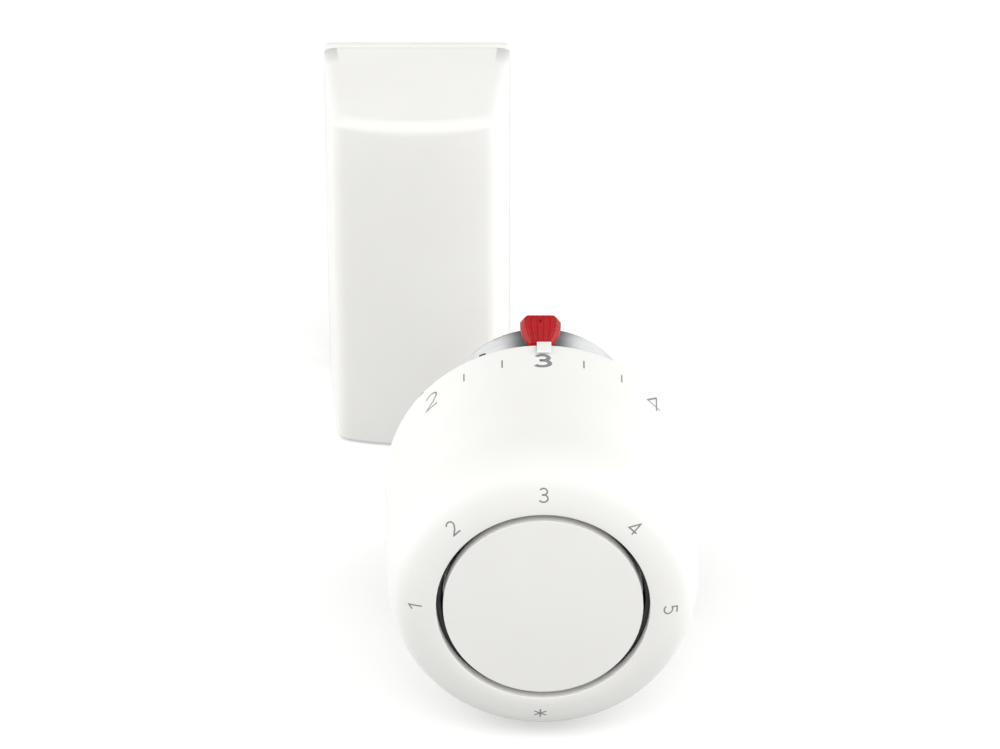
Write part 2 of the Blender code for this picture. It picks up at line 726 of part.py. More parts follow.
def bellows(surface, parent):
    """A folded metal capsule, open only where the capillary enters its front end."""
    root = BELLOWS_RADIUS - BELLOWS_FOLD_DEPTH + BELLOWS_SKIN
    hole = CAPILLARY_RADIUS + GAP
    turns = 2 * BELLOWS_FOLDS
    step = (BELLOWS_LENGTH - 2 * BELLOWS_SKIN) / turns
    front = BELLOWS_FRONT + BELLOWS_SKIN
    folds = [(front + step * i, BELLOWS_RADIUS if i % 2 else root) for i in range(turns + 1)]
    outline = [
        (BELLOWS_BACK - BELLOWS_SKIN, 0),
        *[(along, radius - BELLOWS_SKIN) for along, radius in folds[::-1]],
        (front, hole),
        (BELLOWS_FRONT, hole),
        (BELLOWS_FRONT, root),
        *folds,
        (BELLOWS_BACK, root),
        (BELLOWS_BACK, 0),
    ]
    return add_object("bellows", turned(outline, SMALL_SEGMENTS, closed=False), surface, parent)


def capillary_stub(surface, parent):
    """The capillary's end, brazed into the front of the bellows."""
    front = CARRIAGE_FRONT - 2 * CARRIAGE_END_WALL
    outline = [
        (front, 0),
        (front, CAPILLARY_RADIUS),
        (BELLOWS_FRONT + BELLOWS_SKIN, CAPILLARY_RADIUS),
        (BELLOWS_FRONT + BELLOWS_SKIN, 0),
    ]
    return add_object("capillary_stub", turned(outline, SMALL_SEGMENTS, closed=False), surface, parent)


def overtravel_spring(surface, parent):
    """Between the cup's end wall and the bellows."""
    inside = CARRIAGE_FRONT + CARRIAGE_END_WALL
    margin = OVERTRAVEL_WIRE / 2 + GAP
    points = spring_points(
        BELLOWS_RADIUS - BELLOWS_FOLD_DEPTH, OVERTRAVEL_TURNS, OVERTRAVEL_ROOM - 2 * margin
    )
    spring = wire("overtravel_spring", points, OVERTRAVEL_WIRE / 2, surface, parent)
    spring.location = (0, inside + margin, 0)
    return spring


def pressure_pin(surface, parent):
    tip = 2 * GAP
    outline = [
        (PIN_FLANGE_FRONT, 0),
        (PIN_FLANGE_FRONT, PIN_FLANGE_RADIUS),
        (PIN_FLANGE_BACK, PIN_FLANGE_RADIUS),
        (PIN_FLANGE_BACK, PIN_RADIUS),
        (PIN_BACK - tip, PIN_RADIUS),
        (PIN_BACK, PIN_RADIUS - tip),
        (PIN_BACK, 0),
    ]
    return add_object("pressure_pin", turned(outline, SMALL_SEGMENTS, closed=False), surface, parent)


def return_spring(surface, parent):
    """Between the pressure pin's flange and the base's web."""
    margin = SPRING_WIRE / 2 + GAP
    length = WEB_FRONT - PIN_FLANGE_BACK - 2 * margin
    points = spring_points(RETURN_SPRING_RADIUS, RETURN_SPRING_TURNS, length)
    spring = wire("return_spring", points, SPRING_WIRE / 2, surface, parent)
    spring.location = (0, PIN_FLANGE_BACK + margin, 0)
    return spring


# ---------------------------------------------------------------- release button


def release_button(surface, parent):
    """A wedge that widens and rises towards the back, on a foot through the collar's window."""
    middle = BUTTON_MIDDLE
    front, back = BUTTON_FRONT - middle, BUTTON_BACK - middle

    def ring(height, rise, grow):
        corners = ((front, BUTTON_FRONT_WIDTH, 0), (back, BUTTON_BACK_WIDTH, rise))
        (y0, w0, h0), (y1, w1, h1) = corners
        w0, w1 = w0 / 2 - grow, w1 / 2 - grow
        return [
            (-w0, y0 + grow, height + h0),
            (w0, y0 + grow, height + h0),
            (w1, y1 - grow, height + h1),
            (-w1, y1 - grow, height + h1),
        ]

    low = BUTTON_UNDERSIDE
    head = loft(
        [
            ring(low, 0, BUTTON_LIP),
            ring(low + BUTTON_LIP, 0, 0),
            ring(low + 2 * BUTTON_LIP, BUTTON_RISE, 0),
            ring(low + 3 * BUTTON_LIP, BUTTON_RISE, BUTTON_LIP),
        ]
    )
    button = add_object("release_button", head, surface, parent)
    foot = box(
        (-BUTTON_FOOT_WIDTH / 2, -BUTTON_FOOT_LENGTH / 2, COLLAR_RADIUS),
        (BUTTON_FOOT_WIDTH / 2, BUTTON_FOOT_LENGTH / 2, low + BUTTON_LIP),
    )
    combine(button, "UNION", foot)
    return button


def release_spring(surface, parent):
    """Stands on the sleeve inside the collar's window."""
    margin = BUTTON_SPRING_WIRE / 2 + GAP
    length = COLLAR_RADIUS - SLEEVE_RADIUS - 2 * margin
    points = [(x, z, y) for x, y, z in spring_points(BUTTON_SPRING_RADIUS, 2, length)]
    spring = wire("release_spring", points, BUTTON_SPRING_WIRE / 2, surface, parent)
    spring.location = (0, BUTTON_MIDDLE, SLEEVE_RADIUS + margin)
    return spring


# ---------------------------------------------------------------- remote sensor box


def sensor_outline(inset, back):
    """The cover's plan, left back corner to right back corner. Y is negative ahead of the wall."""
    front = -SENSOR_DEPTH + inset
    half_front = SENSOR_FRONT_WIDTH / 2 - inset
    half_back = SENSOR_BACK_WIDTH / 2 - inset
    corner_y = front + SENSOR_BOW
    lean = (half_back - half_front) / (back - corner_y)
    points = [(-half_back, back)]
    bend = SENSOR_CORNER
    for step in range(5):
        t = step / 4
        side = (-half_front - lean * bend, corner_y + bend)
        face_x = -half_front + bend
        face = (face_x, front + SENSOR_BOW * (face_x / half_front) ** 2)
        points.append(tuple(bezier(a, b, c, t) for a, b, c in zip(side, (-half_front, corner_y), face)))
    for step in (1, 2, 3):
        x = (-half_front + bend) * (1 - step / 4)
        points.append((x, front + SENSOR_BOW * (x / half_front) ** 2))
    return points + [(0, front)] + [(-x, y) for x, y in points[::-1]]


def bezier(a, b, c, t):
    return a * (1 - t) ** 2 + 2 * b * t * (1 - t) + c * t**2


def sensor_levels(low, high, foot, top):
    """(height, inset) pairs that round the foot and the top edge."""
    turns = [math.radians(degrees) for degrees in (0, 30, 60, 90)]
    rise = [(low + foot * (1 - math.sin(t)), foot * (1 - math.cos(t))) for t in turns[::-1]]
    fall = [(high - top * (1 - math.sin(t)), top * (1 - math.cos(t))) for t in turns]
    return rise + fall


def sensor_cover(surface, parent):
    back = -PLATE_THICKNESS - GAP
    outer = [
        [(x, y, height) for x, y in sensor_outline(inset, back)]
        for height, inset in sensor_levels(0, SENSOR_HEIGHT, SENSOR_FOOT_ROUNDING, SENSOR_TOP_ROUNDING)
    ]
    cover = add_object("sensor_cover", loft(outer), surface, parent)
    wall = SENSOR_WALL
    inner = [
        [(x, y, height) for x, y in sensor_outline(wall + inset, back + MM)]
        for height, inset in sensor_levels(wall, SENSOR_HEIGHT - wall, GAP, SENSOR_TOP_ROUNDING - wall)
    ]
    combine(cover, "DIFFERENCE", loft(inner))
    half = GROMMET_RADIUS + 2 * GAP
    notch_end = grommet_y() - half
    combine(cover, "DIFFERENCE", box((-half, notch_end, -MM), (half, back + MM, wall + MM)))
    return cover


def grommet_y():
    return -PLATE_THICKNESS - PLATE_STEP - GAP - GROMMET_RADIUS


def rounded_rectangle(half_width, low, high, radius):
    """Points round an upright rectangle, as (x, z)."""
    corners = [
        (half_width - radius, low + radius, -90),
        (half_width - radius, high - radius, 0),
        (-half_width + radius, high - radius, 90),
        (-half_width + radius, low + radius, 180),
    ]
    points = []
    for x, z, start in corners:
        for degrees in (0, 30, 60, 90):
            angle = math.radians(start + degrees)
            points.append((x + radius * math.cos(angle), z + radius * math.sin(angle)))
    return points


def sensor_wall_plate(surface, parent):
    """The back plate, with a step that locates the cover and two screw holes."""
    radius = SENSOR_TOP_ROUNDING
    inset = SENSOR_WALL + 2 * GAP
    full = rounded_rectangle(SENSOR_HALF_WIDTH, 0, SENSOR_HEIGHT, radius)
    step = rounded_rectangle(SENSOR_HALF_WIDTH - inset, inset, SENSOR_HEIGHT - inset, radius)
    rings = [
        [(x, 0, z) for x, z in full],
        [(x, -PLATE_THICKNESS, z) for x, z in full],
        [(x, -PLATE_THICKNESS, z) for x, z in step],
        [(x, -PLATE_THICKNESS - PLATE_STEP, z) for x, z in step],
    ]
    plate = add_object("sensor_wall_plate", loft(rings), surface, parent)
    for side in (-1, 1):
        z = SENSOR_HEIGHT / 2 + side * (SENSOR_HEIGHT / 2 - KEYHOLE_INSET)
        x = side * KEYHOLE_OFFSET
        combine(plate, "DIFFERENCE", cylinder(KEYHOLE_RADIUS, (x, MM, z), (x, -10 * MM, z), 1))
    return plate


def capillary_spool(surface, parent):
    """The drum on the wall plate that spare capillary is wound on."""
    back = -PLATE_THICKNESS - PLATE_STEP - GAP
    front = back - SPOOL_LENGTH
    outline = [
        (front, 0),
        (front, SPOOL_RADIUS),
        (front + SPOOL_FLANGE, SPOOL_RADIUS),
        (front + SPOOL_FLANGE, SPOOL_HUB_RADIUS),
        (back - SPOOL_FLANGE, SPOOL_HUB_RADIUS),
        (back - SPOOL_FLANGE, SPOOL_RADIUS),
        (back, SPOOL_RADIUS),
        (back, 0),
    ]
    spool = add_object("capillary_spool", turned(outline, SMALL_SEGMENTS, closed=False), surface, parent)
    spool.location = (0, 0, SENSOR_HEIGHT / 2)
    return spool


def bulb_y():
    return -PLATE_THICKNESS - PLATE_STEP - 3 * GAP - SPOOL_LENGTH - BULB_RADIUS


def sensor_bulb(surface, parent):
    """The wax or liquid filled cylinder that feels the room's air."""
    straight = BULB_LENGTH / 2 - BULB_RADIUS
    turns = [math.radians(degrees) for degrees in (0, 30, 60, 90)]
    lower = [(-straight - BULB_RADIUS * math.cos(t), BULB_RADIUS * math.sin(t)) for t in turns]
    upper = [(straight + BULB_RADIUS * math.cos(t), BULB_RADIUS * math.sin(t)) for t in turns[::-1]]
    lower[0] = (-BULB_LENGTH / 2, 0)
    upper[-1] = (BULB_LENGTH / 2, 0)
    bulb = add_object("sensor_bulb", turned(lower + upper, SMALL_SEGMENTS, closed=False), surface, parent)
    bulb.rotation_euler = (math.pi / 2, 0, 0)
    bulb.location = (0, bulb_y(), SENSOR_HEIGHT / 2)
    return bulb


def bulb_clip(name, height, surface, parent):
    """A sprung cradle round the bulb, on a post from the wall plate."""
    inner = BULB_RADIUS + GAP
    outer = inner + CLIP_WALL

    def ring(angle):
        corners = ((inner, 0), (outer, 0), (outer, CLIP_HEIGHT), (inner, CLIP_HEIGHT))
        return [(r * math.sin(angle), bulb_y() + r * math.cos(angle), height + z) for r, z in corners]

    cradle = loft([ring(angle) for angle in arc_steps(-CLIP_HALF_ANGLE, CLIP_HALF_ANGLE)])
    clip = add_object(name, cradle, surface, parent)
    back = -PLATE_THICKNESS - PLATE_STEP - GAP
    root = bulb_y() + outer - CLIP_WALL / 2
    post = box((-CLIP_WALL, root, height + MM), (CLIP_WALL, back, height + CLIP_HEIGHT - MM))
    combine(clip, "UNION", post)
    return clip


def sensor_grommet(surface, parent):
    """Where the capillary leaves the box, in the cover's notch."""
    hole = CAPILLARY_RADIUS + GAP
    outline = [
        (0, hole),
        (0, GROMMET_RADIUS),
        (GROMMET_HEIGHT, GROMMET_RADIUS),
        (GROMMET_HEIGHT, hole),
    ]
    grommet = add_object("sensor_grommet", turned(outline, SMALL_SEGMENTS), surface, parent)
    grommet.rotation_euler = (math.pi / 2, 0, 0)
    grommet.location = (0, grommet_y(), GROMMET_LIFT)
    return grommet


def sensor_capillary(surface, parent):
    """The short run of capillary from the bulb's foot to the grommet."""
    top = SENSOR_HEIGHT / 2 - BULB_LENGTH / 2 - GAP - CAPILLARY_RADIUS / 2
    low = GROMMET_LIFT + GROMMET_HEIGHT + GAP
    count = 12
    points = []
    for step in range(count + 1):
        t = step / count
        y = bezier(bulb_y(), (bulb_y() + grommet_y()) / 2, grommet_y(), t * t * (3 - 2 * t))
        points.append((0, y, top + (low - top) * t))
    return wire("sensor_capillary", points, CAPILLARY_RADIUS, surface, parent)


# ---------------------------------------------------------------- assembly


def build_head(surfaces):
    head = empty("head_axis", (HEAD_X, FRONT_Y, HEAD_Z))
    dial = empty("dial_turn_axis", (0, 0, 0), head)
    carriage = empty("carriage_slide_axis", (0, 0, 0), head)
    pin = empty("pin_slide_axis", (0, 0, 0), carriage)
    latch = empty("latch_slide_axis", (0, BUTTON_MIDDLE, 0), head)
    setting_dial(surfaces["white"], dial)
    setting_ring(surfaces["grey"], dial)
    base_housing(surfaces["white"], head)
    end_cap(surfaces["white"], head)
    dial_retainer(surfaces["steel"], head)
    coupling_collar(surfaces["nickel"], head)
    lock_ring(surfaces["steel"], head)
    index_pointer(surfaces["white"], head)
    for name, angle in LIMIT_PIN_ANGLES.items():
        limit_pin(name, angle, surfaces["grey"], head)
    head_gland(surfaces["rubber"], head)
    bellows_carriage(surfaces["grey"], carriage)
    carriage_retainer(surfaces["steel"], carriage)
    bellows(surfaces["brass"], carriage)
    capillary_stub(surfaces["copper"], carriage)
    overtravel_spring(surfaces["steel"], carriage)
    pressure_pin(surfaces["brass"], pin)
    return_spring(surfaces["steel"], head)
    release_button(surfaces["red"], latch)
    release_spring(surfaces["steel"], head)


def build_sensor(surfaces):
    box_frame = empty("sensor_frame", (SENSOR_X, WALL_Y, 0))
    cover = empty("cover_slide_axis", (0, 0, 0), box_frame)
    sensor_cover(surfaces["white"], cover)
    sensor_wall_plate(surfaces["white"], box_frame)
    capillary_spool(surfaces["grey"], box_frame)
    sensor_bulb(surfaces["copper"], box_frame)
    low_clip = SENSOR_HEIGHT / 2 - BULB_LENGTH / 2 + CLIP_INSET
    high_clip = SENSOR_HEIGHT / 2 + BULB_LENGTH / 2 - CLIP_INSET - CLIP_HEIGHT
    bulb_clip("bulb_clip_lower", low_clip, surfaces["grey"], box_frame)
    bulb_clip("bulb_clip_upper", high_clip, surfaces["grey"], box_frame)
    sensor_grommet(surfaces["rubber"], box_frame)
    sensor_capillary(surfaces["copper"], box_frame)


def main():
    clear_scene()
    surfaces = make_materials()
    build_head(surfaces)
    build_sensor(surfaces)


main()
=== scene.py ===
"""The looks of a thermostatic radiator valve head and its remote room sensor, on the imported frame."""

import json
import math

import bmesh
import bpy
from mathutils import Matrix, Vector


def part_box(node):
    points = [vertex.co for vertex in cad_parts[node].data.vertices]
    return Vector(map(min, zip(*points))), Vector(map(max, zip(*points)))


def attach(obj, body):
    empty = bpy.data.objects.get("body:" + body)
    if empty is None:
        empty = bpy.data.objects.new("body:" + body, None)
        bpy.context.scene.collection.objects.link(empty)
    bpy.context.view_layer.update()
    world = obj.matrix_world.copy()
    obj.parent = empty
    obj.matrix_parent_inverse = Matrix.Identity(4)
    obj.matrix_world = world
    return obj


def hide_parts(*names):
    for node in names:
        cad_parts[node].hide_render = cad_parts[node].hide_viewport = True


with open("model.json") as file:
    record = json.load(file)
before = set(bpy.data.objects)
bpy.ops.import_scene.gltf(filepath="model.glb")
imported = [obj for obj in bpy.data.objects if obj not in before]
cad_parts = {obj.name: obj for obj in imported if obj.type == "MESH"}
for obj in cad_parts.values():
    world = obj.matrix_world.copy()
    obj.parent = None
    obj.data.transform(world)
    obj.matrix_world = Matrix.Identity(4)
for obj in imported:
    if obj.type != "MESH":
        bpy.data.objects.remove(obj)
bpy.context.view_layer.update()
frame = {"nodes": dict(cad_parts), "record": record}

MM = 0.001
FINE = 160
NODES = frame["nodes"]


# ---------------------------------------------------------------- sizes read from the frame


def corners(node):
    low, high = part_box(node)
    return Vector(low), Vector(high)


DIAL_LOW, DIAL_HIGH = corners("setting_dial")
CAP_LOW, CAP_HIGH = corners("end_cap")
COLLAR_LOW, COLLAR_HIGH = corners("coupling_collar")
BASE_LOW, BASE_HIGH = corners("base_housing")
BUTTON_LOW, BUTTON_HIGH = corners("release_button")
POINTER_LOW, POINTER_HIGH = corners("index_pointer")
COVER_LOW, COVER_HIGH = corners("sensor_cover")
PLATE_LOW, PLATE_HIGH = corners("sensor_wall_plate")

AXIS_X = (DIAL_LOW.x + DIAL_HIGH.x) / 2
AXIS_Z = (DIAL_LOW.z + DIAL_HIGH.z) / 2
FRONT = DIAL_LOW.y
DIAL_LENGTH = DIAL_HIGH.y - FRONT
DIAL_BACK_RADIUS = (DIAL_HIGH.x - DIAL_LOW.x) / 2
CAP_RADIUS = (CAP_HIGH.x - CAP_LOW.x) / 2
COLLAR_RADIUS = (COLLAR_HIGH.x - COLLAR_LOW.x) / 2
FLANGE_RADIUS = (BASE_HIGH.x - BASE_LOW.x) / 2
COVER_X = (COVER_LOW.x + COVER_HIGH.x) / 2

# The dial's own shape, as its CAD node has it
MOUTH_RADIUS = CAP_RADIUS + 1.2 * MM
FACE_RADIUS = MOUTH_RADIUS + 2.5 * MM
SIDE_RADIUS = DIAL_BACK_RADIUS - 1.0 * MM
DIAL_WALL = 2.2 * MM
CROWN_DEPTH = 12.0 * MM
CROWN_POWER = 2.3


# ---------------------------------------------------------------- materials


def set_range(node, start, end, low, high):
    """Sets a Map Range node's two ranges."""
    for key, number in (("From Min", start), ("From Max", end), ("To Min", low), ("To Max", high)):
        node.inputs[key].default_value = number


class Nodes:
    """A new material's node tree, with short calls to add and join nodes."""

    def __init__(self, name):
        self.material = bpy.data.materials.new(name)
        self.material.use_nodes = True
        self.tree = self.material.node_tree
        self.shader = self.tree.nodes["Principled BSDF"]
        self.coords = self.add("ShaderNodeTexCoord")

    def add(self, kind, **inputs):
        node = self.tree.nodes.new(kind)
        for key, value in inputs.items():
            node.inputs[key.replace("_", " ")].default_value = value
        return node

    def link(self, start, end):
        self.tree.links.new(start, end)

    def noise(self, scale, detail=2.0, stretch=(1, 1, 1)):
        """Noise on Object coordinates, in features per metre. A small stretch draws it out along an axis."""
        mapping = self.add("ShaderNodeMapping")
        mapping.inputs["Scale"].default_value = stretch
        noise = self.add("ShaderNodeTexNoise", Scale=scale, Detail=detail)
        self.link(self.coords.outputs["Object"], mapping.inputs["Vector"])
        self.link(mapping.outputs["Vector"], noise.inputs["Vector"])
        return noise.outputs["Fac"]

    def spread(self, value, low, high, start=0.35, end=0.65):
        """Maps a noise value to a range."""
        node = self.add("ShaderNodeMapRange")
        self.link(value, node.inputs["Value"])
        set_range(node, start, end, low, high)
        return node.outputs["Result"]

    def mix(self, factor, first, second):
        node = self.add("ShaderNodeMix")
        node.data_type = "RGBA"
        self.link(factor, node.inputs["Factor"])
        node.inputs["A"].default_value = (*first, 1)
        node.inputs["B"].default_value = (*second, 1)
        return node.outputs["Result"]

    def colour(self, factor, first, second):
        self.link(self.mix(factor, first, second), self.shader.inputs["Base Color"])

    def roughness(self, value, low, high):
        self.link(self.spread(value, low, high), self.shader.inputs["Roughness"])

    def bump(self, heights, depth):
        """Bump from one height or several added up, of this depth in metres."""
        total = heights[0]
        for height in heights[1:]:
            adder = self.add("ShaderNodeMath")
            self.link(total, adder.inputs[0])
            self.link(height, adder.inputs[1])
            total = adder.outputs["Value"]
        bump = self.add("ShaderNodeBump", Strength=1.0, Distance=depth)
        self.link(total, bump.inputs["Height"])
        self.link(bump.outputs["Normal"], self.shader.inputs["Normal"])

    def set(self, **values):
        for key, value in values.items():
            self.shader.inputs[key.replace("_", " ")].default_value = value
        return self.material


def moulded_plastic(name, light, dark, rough, grain=0.004 * MM):
    """Injection-moulded plastic: spark-eroded grain, faint flow shading and slightly uneven roughness."""
    m = Nodes(name)
    flow = m.noise(55, 3)
    grain_fine = m.noise(4200, 2)
    grain_broad = m.noise(1500, 1)
    m.colour(m.spread(flow, 0, 1), light, dark)
    m.roughness(m.noise(260, 2), rough - 0.03, rough + 0.03)
    m.bump([grain_fine, grain_broad], grain)
    return m.set(Specular_IOR_Level=0.45)


def white_plastic(name, rough=0.42, grain=0.004 * MM):
    return moulded_plastic(name, (0.885, 0.880, 0.860), (0.868, 0.862, 0.840), rough, grain)


def gloss_red(name):
    m = Nodes(name)
    flow = m.noise(240, 2)
    m.colour(m.spread(flow, 0, 1), (0.47, 0.004, 0.006), (0.40, 0.003, 0.005))
    m.roughness(m.noise(900, 2), 0.22, 0.30)
    m.bump([m.noise(3200, 1)], 0.002 * MM)
    return m.set(Specular_IOR_Level=0.22)


def turned_metal(name, light, dark, rough):
    """Turned or plated metal, with fine lines that run round the axis and soft patches of tarnish."""
    m = Nodes(name)
    lines = m.noise(900, 3, (1 / 60, 8, 1 / 60))
    patches = m.noise(120, 3)
    m.colour(m.spread(patches, 0, 1), light, dark)
    m.roughness(lines, rough - 0.05, rough + 0.06)
    m.bump([lines], 0.002 * MM)
    return m.set(Metallic=1.0)


def rubber(name):
    m = Nodes(name)
    m.colour(m.spread(m.noise(300, 3), 0, 1), (0.035, 0.035, 0.036), (0.022, 0.022, 0.023))
    m.roughness(m.noise(800, 2), 0.55, 0.75)
    m.bump([m.noise(2500, 2)], 0.01 * MM)
    return m.set(Specular_IOR_Level=0.35)


def printed_grey(name):
    """Pad-printed ink: flat grey with a slightly uneven edge and lay."""
    m = Nodes(name)
    m.colour(m.spread(m.noise(2500, 2), 0, 1), (0.255, 0.262, 0.268), (0.225, 0.232, 0.238))
    m.roughness(m.noise(1200, 2), 0.48, 0.6)
    m.bump([m.noise(5000, 1)], 0.002 * MM)
    return m.set(Specular_IOR_Level=0.4)


WHITE = white_plastic("white_satin_plastic")
WHITE_CAP = white_plastic("white_cap_plastic", rough=0.38, grain=0.003 * MM)
WHITE_CASE = white_plastic("white_case_plastic", rough=0.46, grain=0.005 * MM)
# painted shade: a near-black plastic, used only where the groove and two rim notches are meant to read dark
PAINTED_SHADE_DARK = moulded_plastic("painted_shade_dark", (0.050, 0.052, 0.054), (0.036, 0.037, 0.038), 0.55, 0.006 * MM)
GREY_NYLON = moulded_plastic("grey_nylon", (0.36, 0.37, 0.375), (0.31, 0.32, 0.325), 0.5, 0.006 * MM)
RED = gloss_red("red_gloss_plastic")
NICKEL = turned_metal("nickel_plate", (0.66, 0.67, 0.68), (0.60, 0.61, 0.62), 0.15)
STEEL = turned_metal("spring_steel", (0.50, 0.50, 0.51), (0.42, 0.42, 0.44), 0.32)
BRASS = turned_metal("turned_brass", (0.74, 0.53, 0.25), (0.64, 0.43, 0.18), 0.28)
COPPER = turned_metal("drawn_copper", (0.76, 0.40, 0.27), (0.60, 0.27, 0.17), 0.30)
RUBBER = rubber("black_rubber")
INK = printed_grey("grey_ink")


# ---------------------------------------------------------------- mesh helpers


def outward(bm):
    """Points every face outwards."""
    bmesh.ops.recalc_face_normals(bm, faces=bm.faces)
    if bm.calc_volume(signed=True) < 0:
        bmesh.ops.reverse_faces(bm, faces=bm.faces)


def weld(bm):
    """Merges doubles, then points every face outwards."""
    bmesh.ops.remove_doubles(bm, verts=bm.verts, dist=0.002 * MM)
    outward(bm)
    return bm


def line(bm, points, closed=False):
    """Vertices joined by edges along a list of points."""
    verts = [bm.verts.new(point) for point in points]
    pairs = list(zip(verts, verts[1:]))
    if closed:
        pairs.append((verts[-1], verts[0]))
    return verts, [bm.edges.new(pair) for pair in pairs]


def along_axis(outline, centre, upright):
    """(along, radius) pairs as points beside an axis that runs back from the front face, or up."""
    if upright:
        return [(centre[0] + radius, centre[1], along) for along, radius in outline]
    return [(centre[0] + radius, FRONT + along, centre[1]) for along, radius in outline]


def spun(outline, steps=FINE, closed=True, centre=None, upright=False):
    """An outline of (along, radius) pairs turned once about an axis."""
    centre = centre or (AXIS_X, AXIS_Z)
    bm = bmesh.new()
    verts, edges = line(bm, along_axis(outline, centre, upright), closed)
    if upright:
        place, axis = (centre[0], centre[1], 0), (0, 0, 1)
    else:
        place, axis = (centre[0], 0, centre[1]), (0, 1, 0)
    geom = verts + edges
    bmesh.ops.spin(bm, geom=geom, cent=place, axis=axis, angle=math.tau, steps=steps, use_merge=True)
    return weld(bm)


def sector(bm, outline, start, end, centre=None, upright=False):
    """Adds part of a turned ring with its two ends closed.

    Angles are in degrees from +X, anticlockwise seen from the front.
    """
    centre = centre or (AXIS_X, AXIS_Z)
    if upright:
        place, axis = (centre[0], centre[1], 0), (0, 0, 1)
    else:
        place, axis = (centre[0], 0, centre[1]), (0, -1, 0)
    verts = [bm.verts.new(point) for point in along_axis(outline, centre, upright)]
    face = bm.faces.new(verts)
    begin = Matrix.Rotation(math.radians(start), 3, axis)
    bmesh.ops.rotate(bm, cent=place, matrix=begin, verts=verts)
    steps = max(2, round(abs(end - start) / 2.5))
    geom = [face, *face.edges, *face.verts]
    copy = bmesh.ops.duplicate(bm, geom=geom)["geom"]
    bmesh.ops.spin(bm, geom=copy, cent=place, axis=axis, angle=math.radians(end - start), steps=steps)


def soften(bm, width, above=50):
    """Rounds the edges sharper than an angle in degrees."""
    sharp = [e for e in bm.edges if e.is_manifold and e.calc_face_angle() > math.radians(above)]
    bmesh.ops.bevel(
        bm,
        geom=sharp,
        offset=width,
        offset_type="OFFSET",
        segments=2,
        profile=0.5,
        affect="EDGES",
        clamp_overlap=True,
        material=-1,
    )


def piece(name, bm, surface, body, slot, *nodes, smooth=30):
    """Turns a bmesh into a piece that rides on a body and stands for CAD nodes."""
    mesh = bpy.data.meshes.new(name)
    bm.to_mesh(mesh)
    bm.free()
    mesh.materials.append(surface)
    mesh.shade_smooth()
    mesh.set_sharp_from_angle(angle=math.radians(smooth))
    made = bpy.data.objects.new(name, mesh)
    bpy.context.scene.collection.objects.link(made)
    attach(made, body)
    if nodes:
        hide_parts(*nodes)
    return made


def block(bm, low, high):
    """Adds a box between two corners, and returns its vertices."""
    low, high = Vector(low), Vector(high)
    size = high - low
    place = Matrix.Translation((low + high) / 2) @ Matrix.Diagonal((*size, 1))
    return bmesh.ops.create_cube(bm, size=1, matrix=place)["verts"]


def arc(centre, radius, start, end, count=6):
    """Points of a round corner in an outline, angles in degrees."""
    points = []
    for step in range(count + 1):
        angle = math.radians(start + (end - start) * step / count)
        points.append((centre[0] + radius * math.cos(angle), centre[1] + radius * math.sin(angle)))
    return points


def bar(bm, profile, thickness, to_world):
    """Adds a flat outline pushed through a thickness. to_world places each (u, v, w)."""
    verts = [bm.verts.new((u, v, -thickness / 2)) for u, v in profile]
    face = bm.faces.new(verts)
    pushed = bmesh.ops.extrude_face_region(bm, geom=[face], use_keep_orig=True)["geom"]
    far = [item for item in pushed if isinstance(item, bmesh.types.BMVert)]
    bmesh.ops.translate(bm, verts=far, vec=(0, 0, thickness))
    for vert in verts + far:
        vert.co = to_world(*vert.co)


# ---------------------------------------------------------------- dial, cap and print


def crown(inset=0.0, count=40):
    """The dial's line from its face round to its straight side, as (station, radius)."""
    curve = []
    for step in range(count + 1):
        turn = math.pi / 2 * step / count
        out = math.sin(turn) ** (2 / CROWN_POWER)
        back = 1 - math.cos(turn) ** (2 / CROWN_POWER)
        radius = FACE_RADIUS + (SIDE_RADIUS - inset - FACE_RADIUS) * out
        curve.append((inset + (CROWN_DEPTH - inset) * back, radius))
    return curve


def face_line(count=22):
    """The dial's skin from its mouth: it falls away to the figures, then rolls over into the crown."""
    rest = [point for point in crown(count=60) if point[1] > 24.9 * MM]
    (a1, r1), (a2, r2) = rest[0], rest[1]
    lean_out = math.radians(20)
    start, knee = (0.0, MOUTH_RADIUS + 0.3 * MM), (0.80 * MM, 21.9 * MM)
    bend = (0.12 * MM, 20.2 * MM)
    front = [blend_curve(start, bend, knee, i / 8) for i in range(8)]
    slope = (a2 - a1) / (r2 - r1)
    run = (r1 - knee[1] - (a1 - knee[0]) / slope) / (1 - math.tan(lean_out) / slope)
    corner = (knee[0] + run * math.tan(lean_out), knee[1] + run)
    roll = [blend_curve(knee, corner, (a1, r1), i / count) for i in range(count)]
    return front + roll + rest


def blend_curve(start, bend, end, t):
    """A point on the smooth curve from start to end that leans towards bend."""
    return tuple(a * (1 - t) ** 2 + 2 * b * t * (1 - t) + c * t**2 for a, b, c in zip(start, bend, end))


def build_dial():
    """The dial's shell: a rolled mouth, the crown, the long side and a rounded back rim."""
    lip = 0.14 * MM
    rim = 0.25 * MM
    mouth = arc((lip, MOUTH_RADIUS + lip), lip, 270, 180, 5)
    back_out = arc((DIAL_LENGTH - rim, DIAL_BACK_RADIUS - rim), rim, 90, 0, 4)
    back_in = arc((DIAL_LENGTH - rim, DIAL_BACK_RADIUS - DIAL_WALL + rim), rim, 0, -90, 4)
    inner = crown(DIAL_WALL, 14)[::-1]
    side = [
        (DIAL_LENGTH - 2.2 * MM, DIAL_BACK_RADIUS - 0.07 * MM),
        (DIAL_LENGTH - 1.2 * MM, DIAL_BACK_RADIUS - 0.04 * MM),
    ]
    outline = [*mouth, *face_line()[1:], *side, *back_out, *back_in, *inner, (DIAL_WALL, MOUTH_RADIUS)]
    bm = spun(outline, 192)
    piece("dial_shell", bm, WHITE, "dial", "white_plastic", "setting_dial")


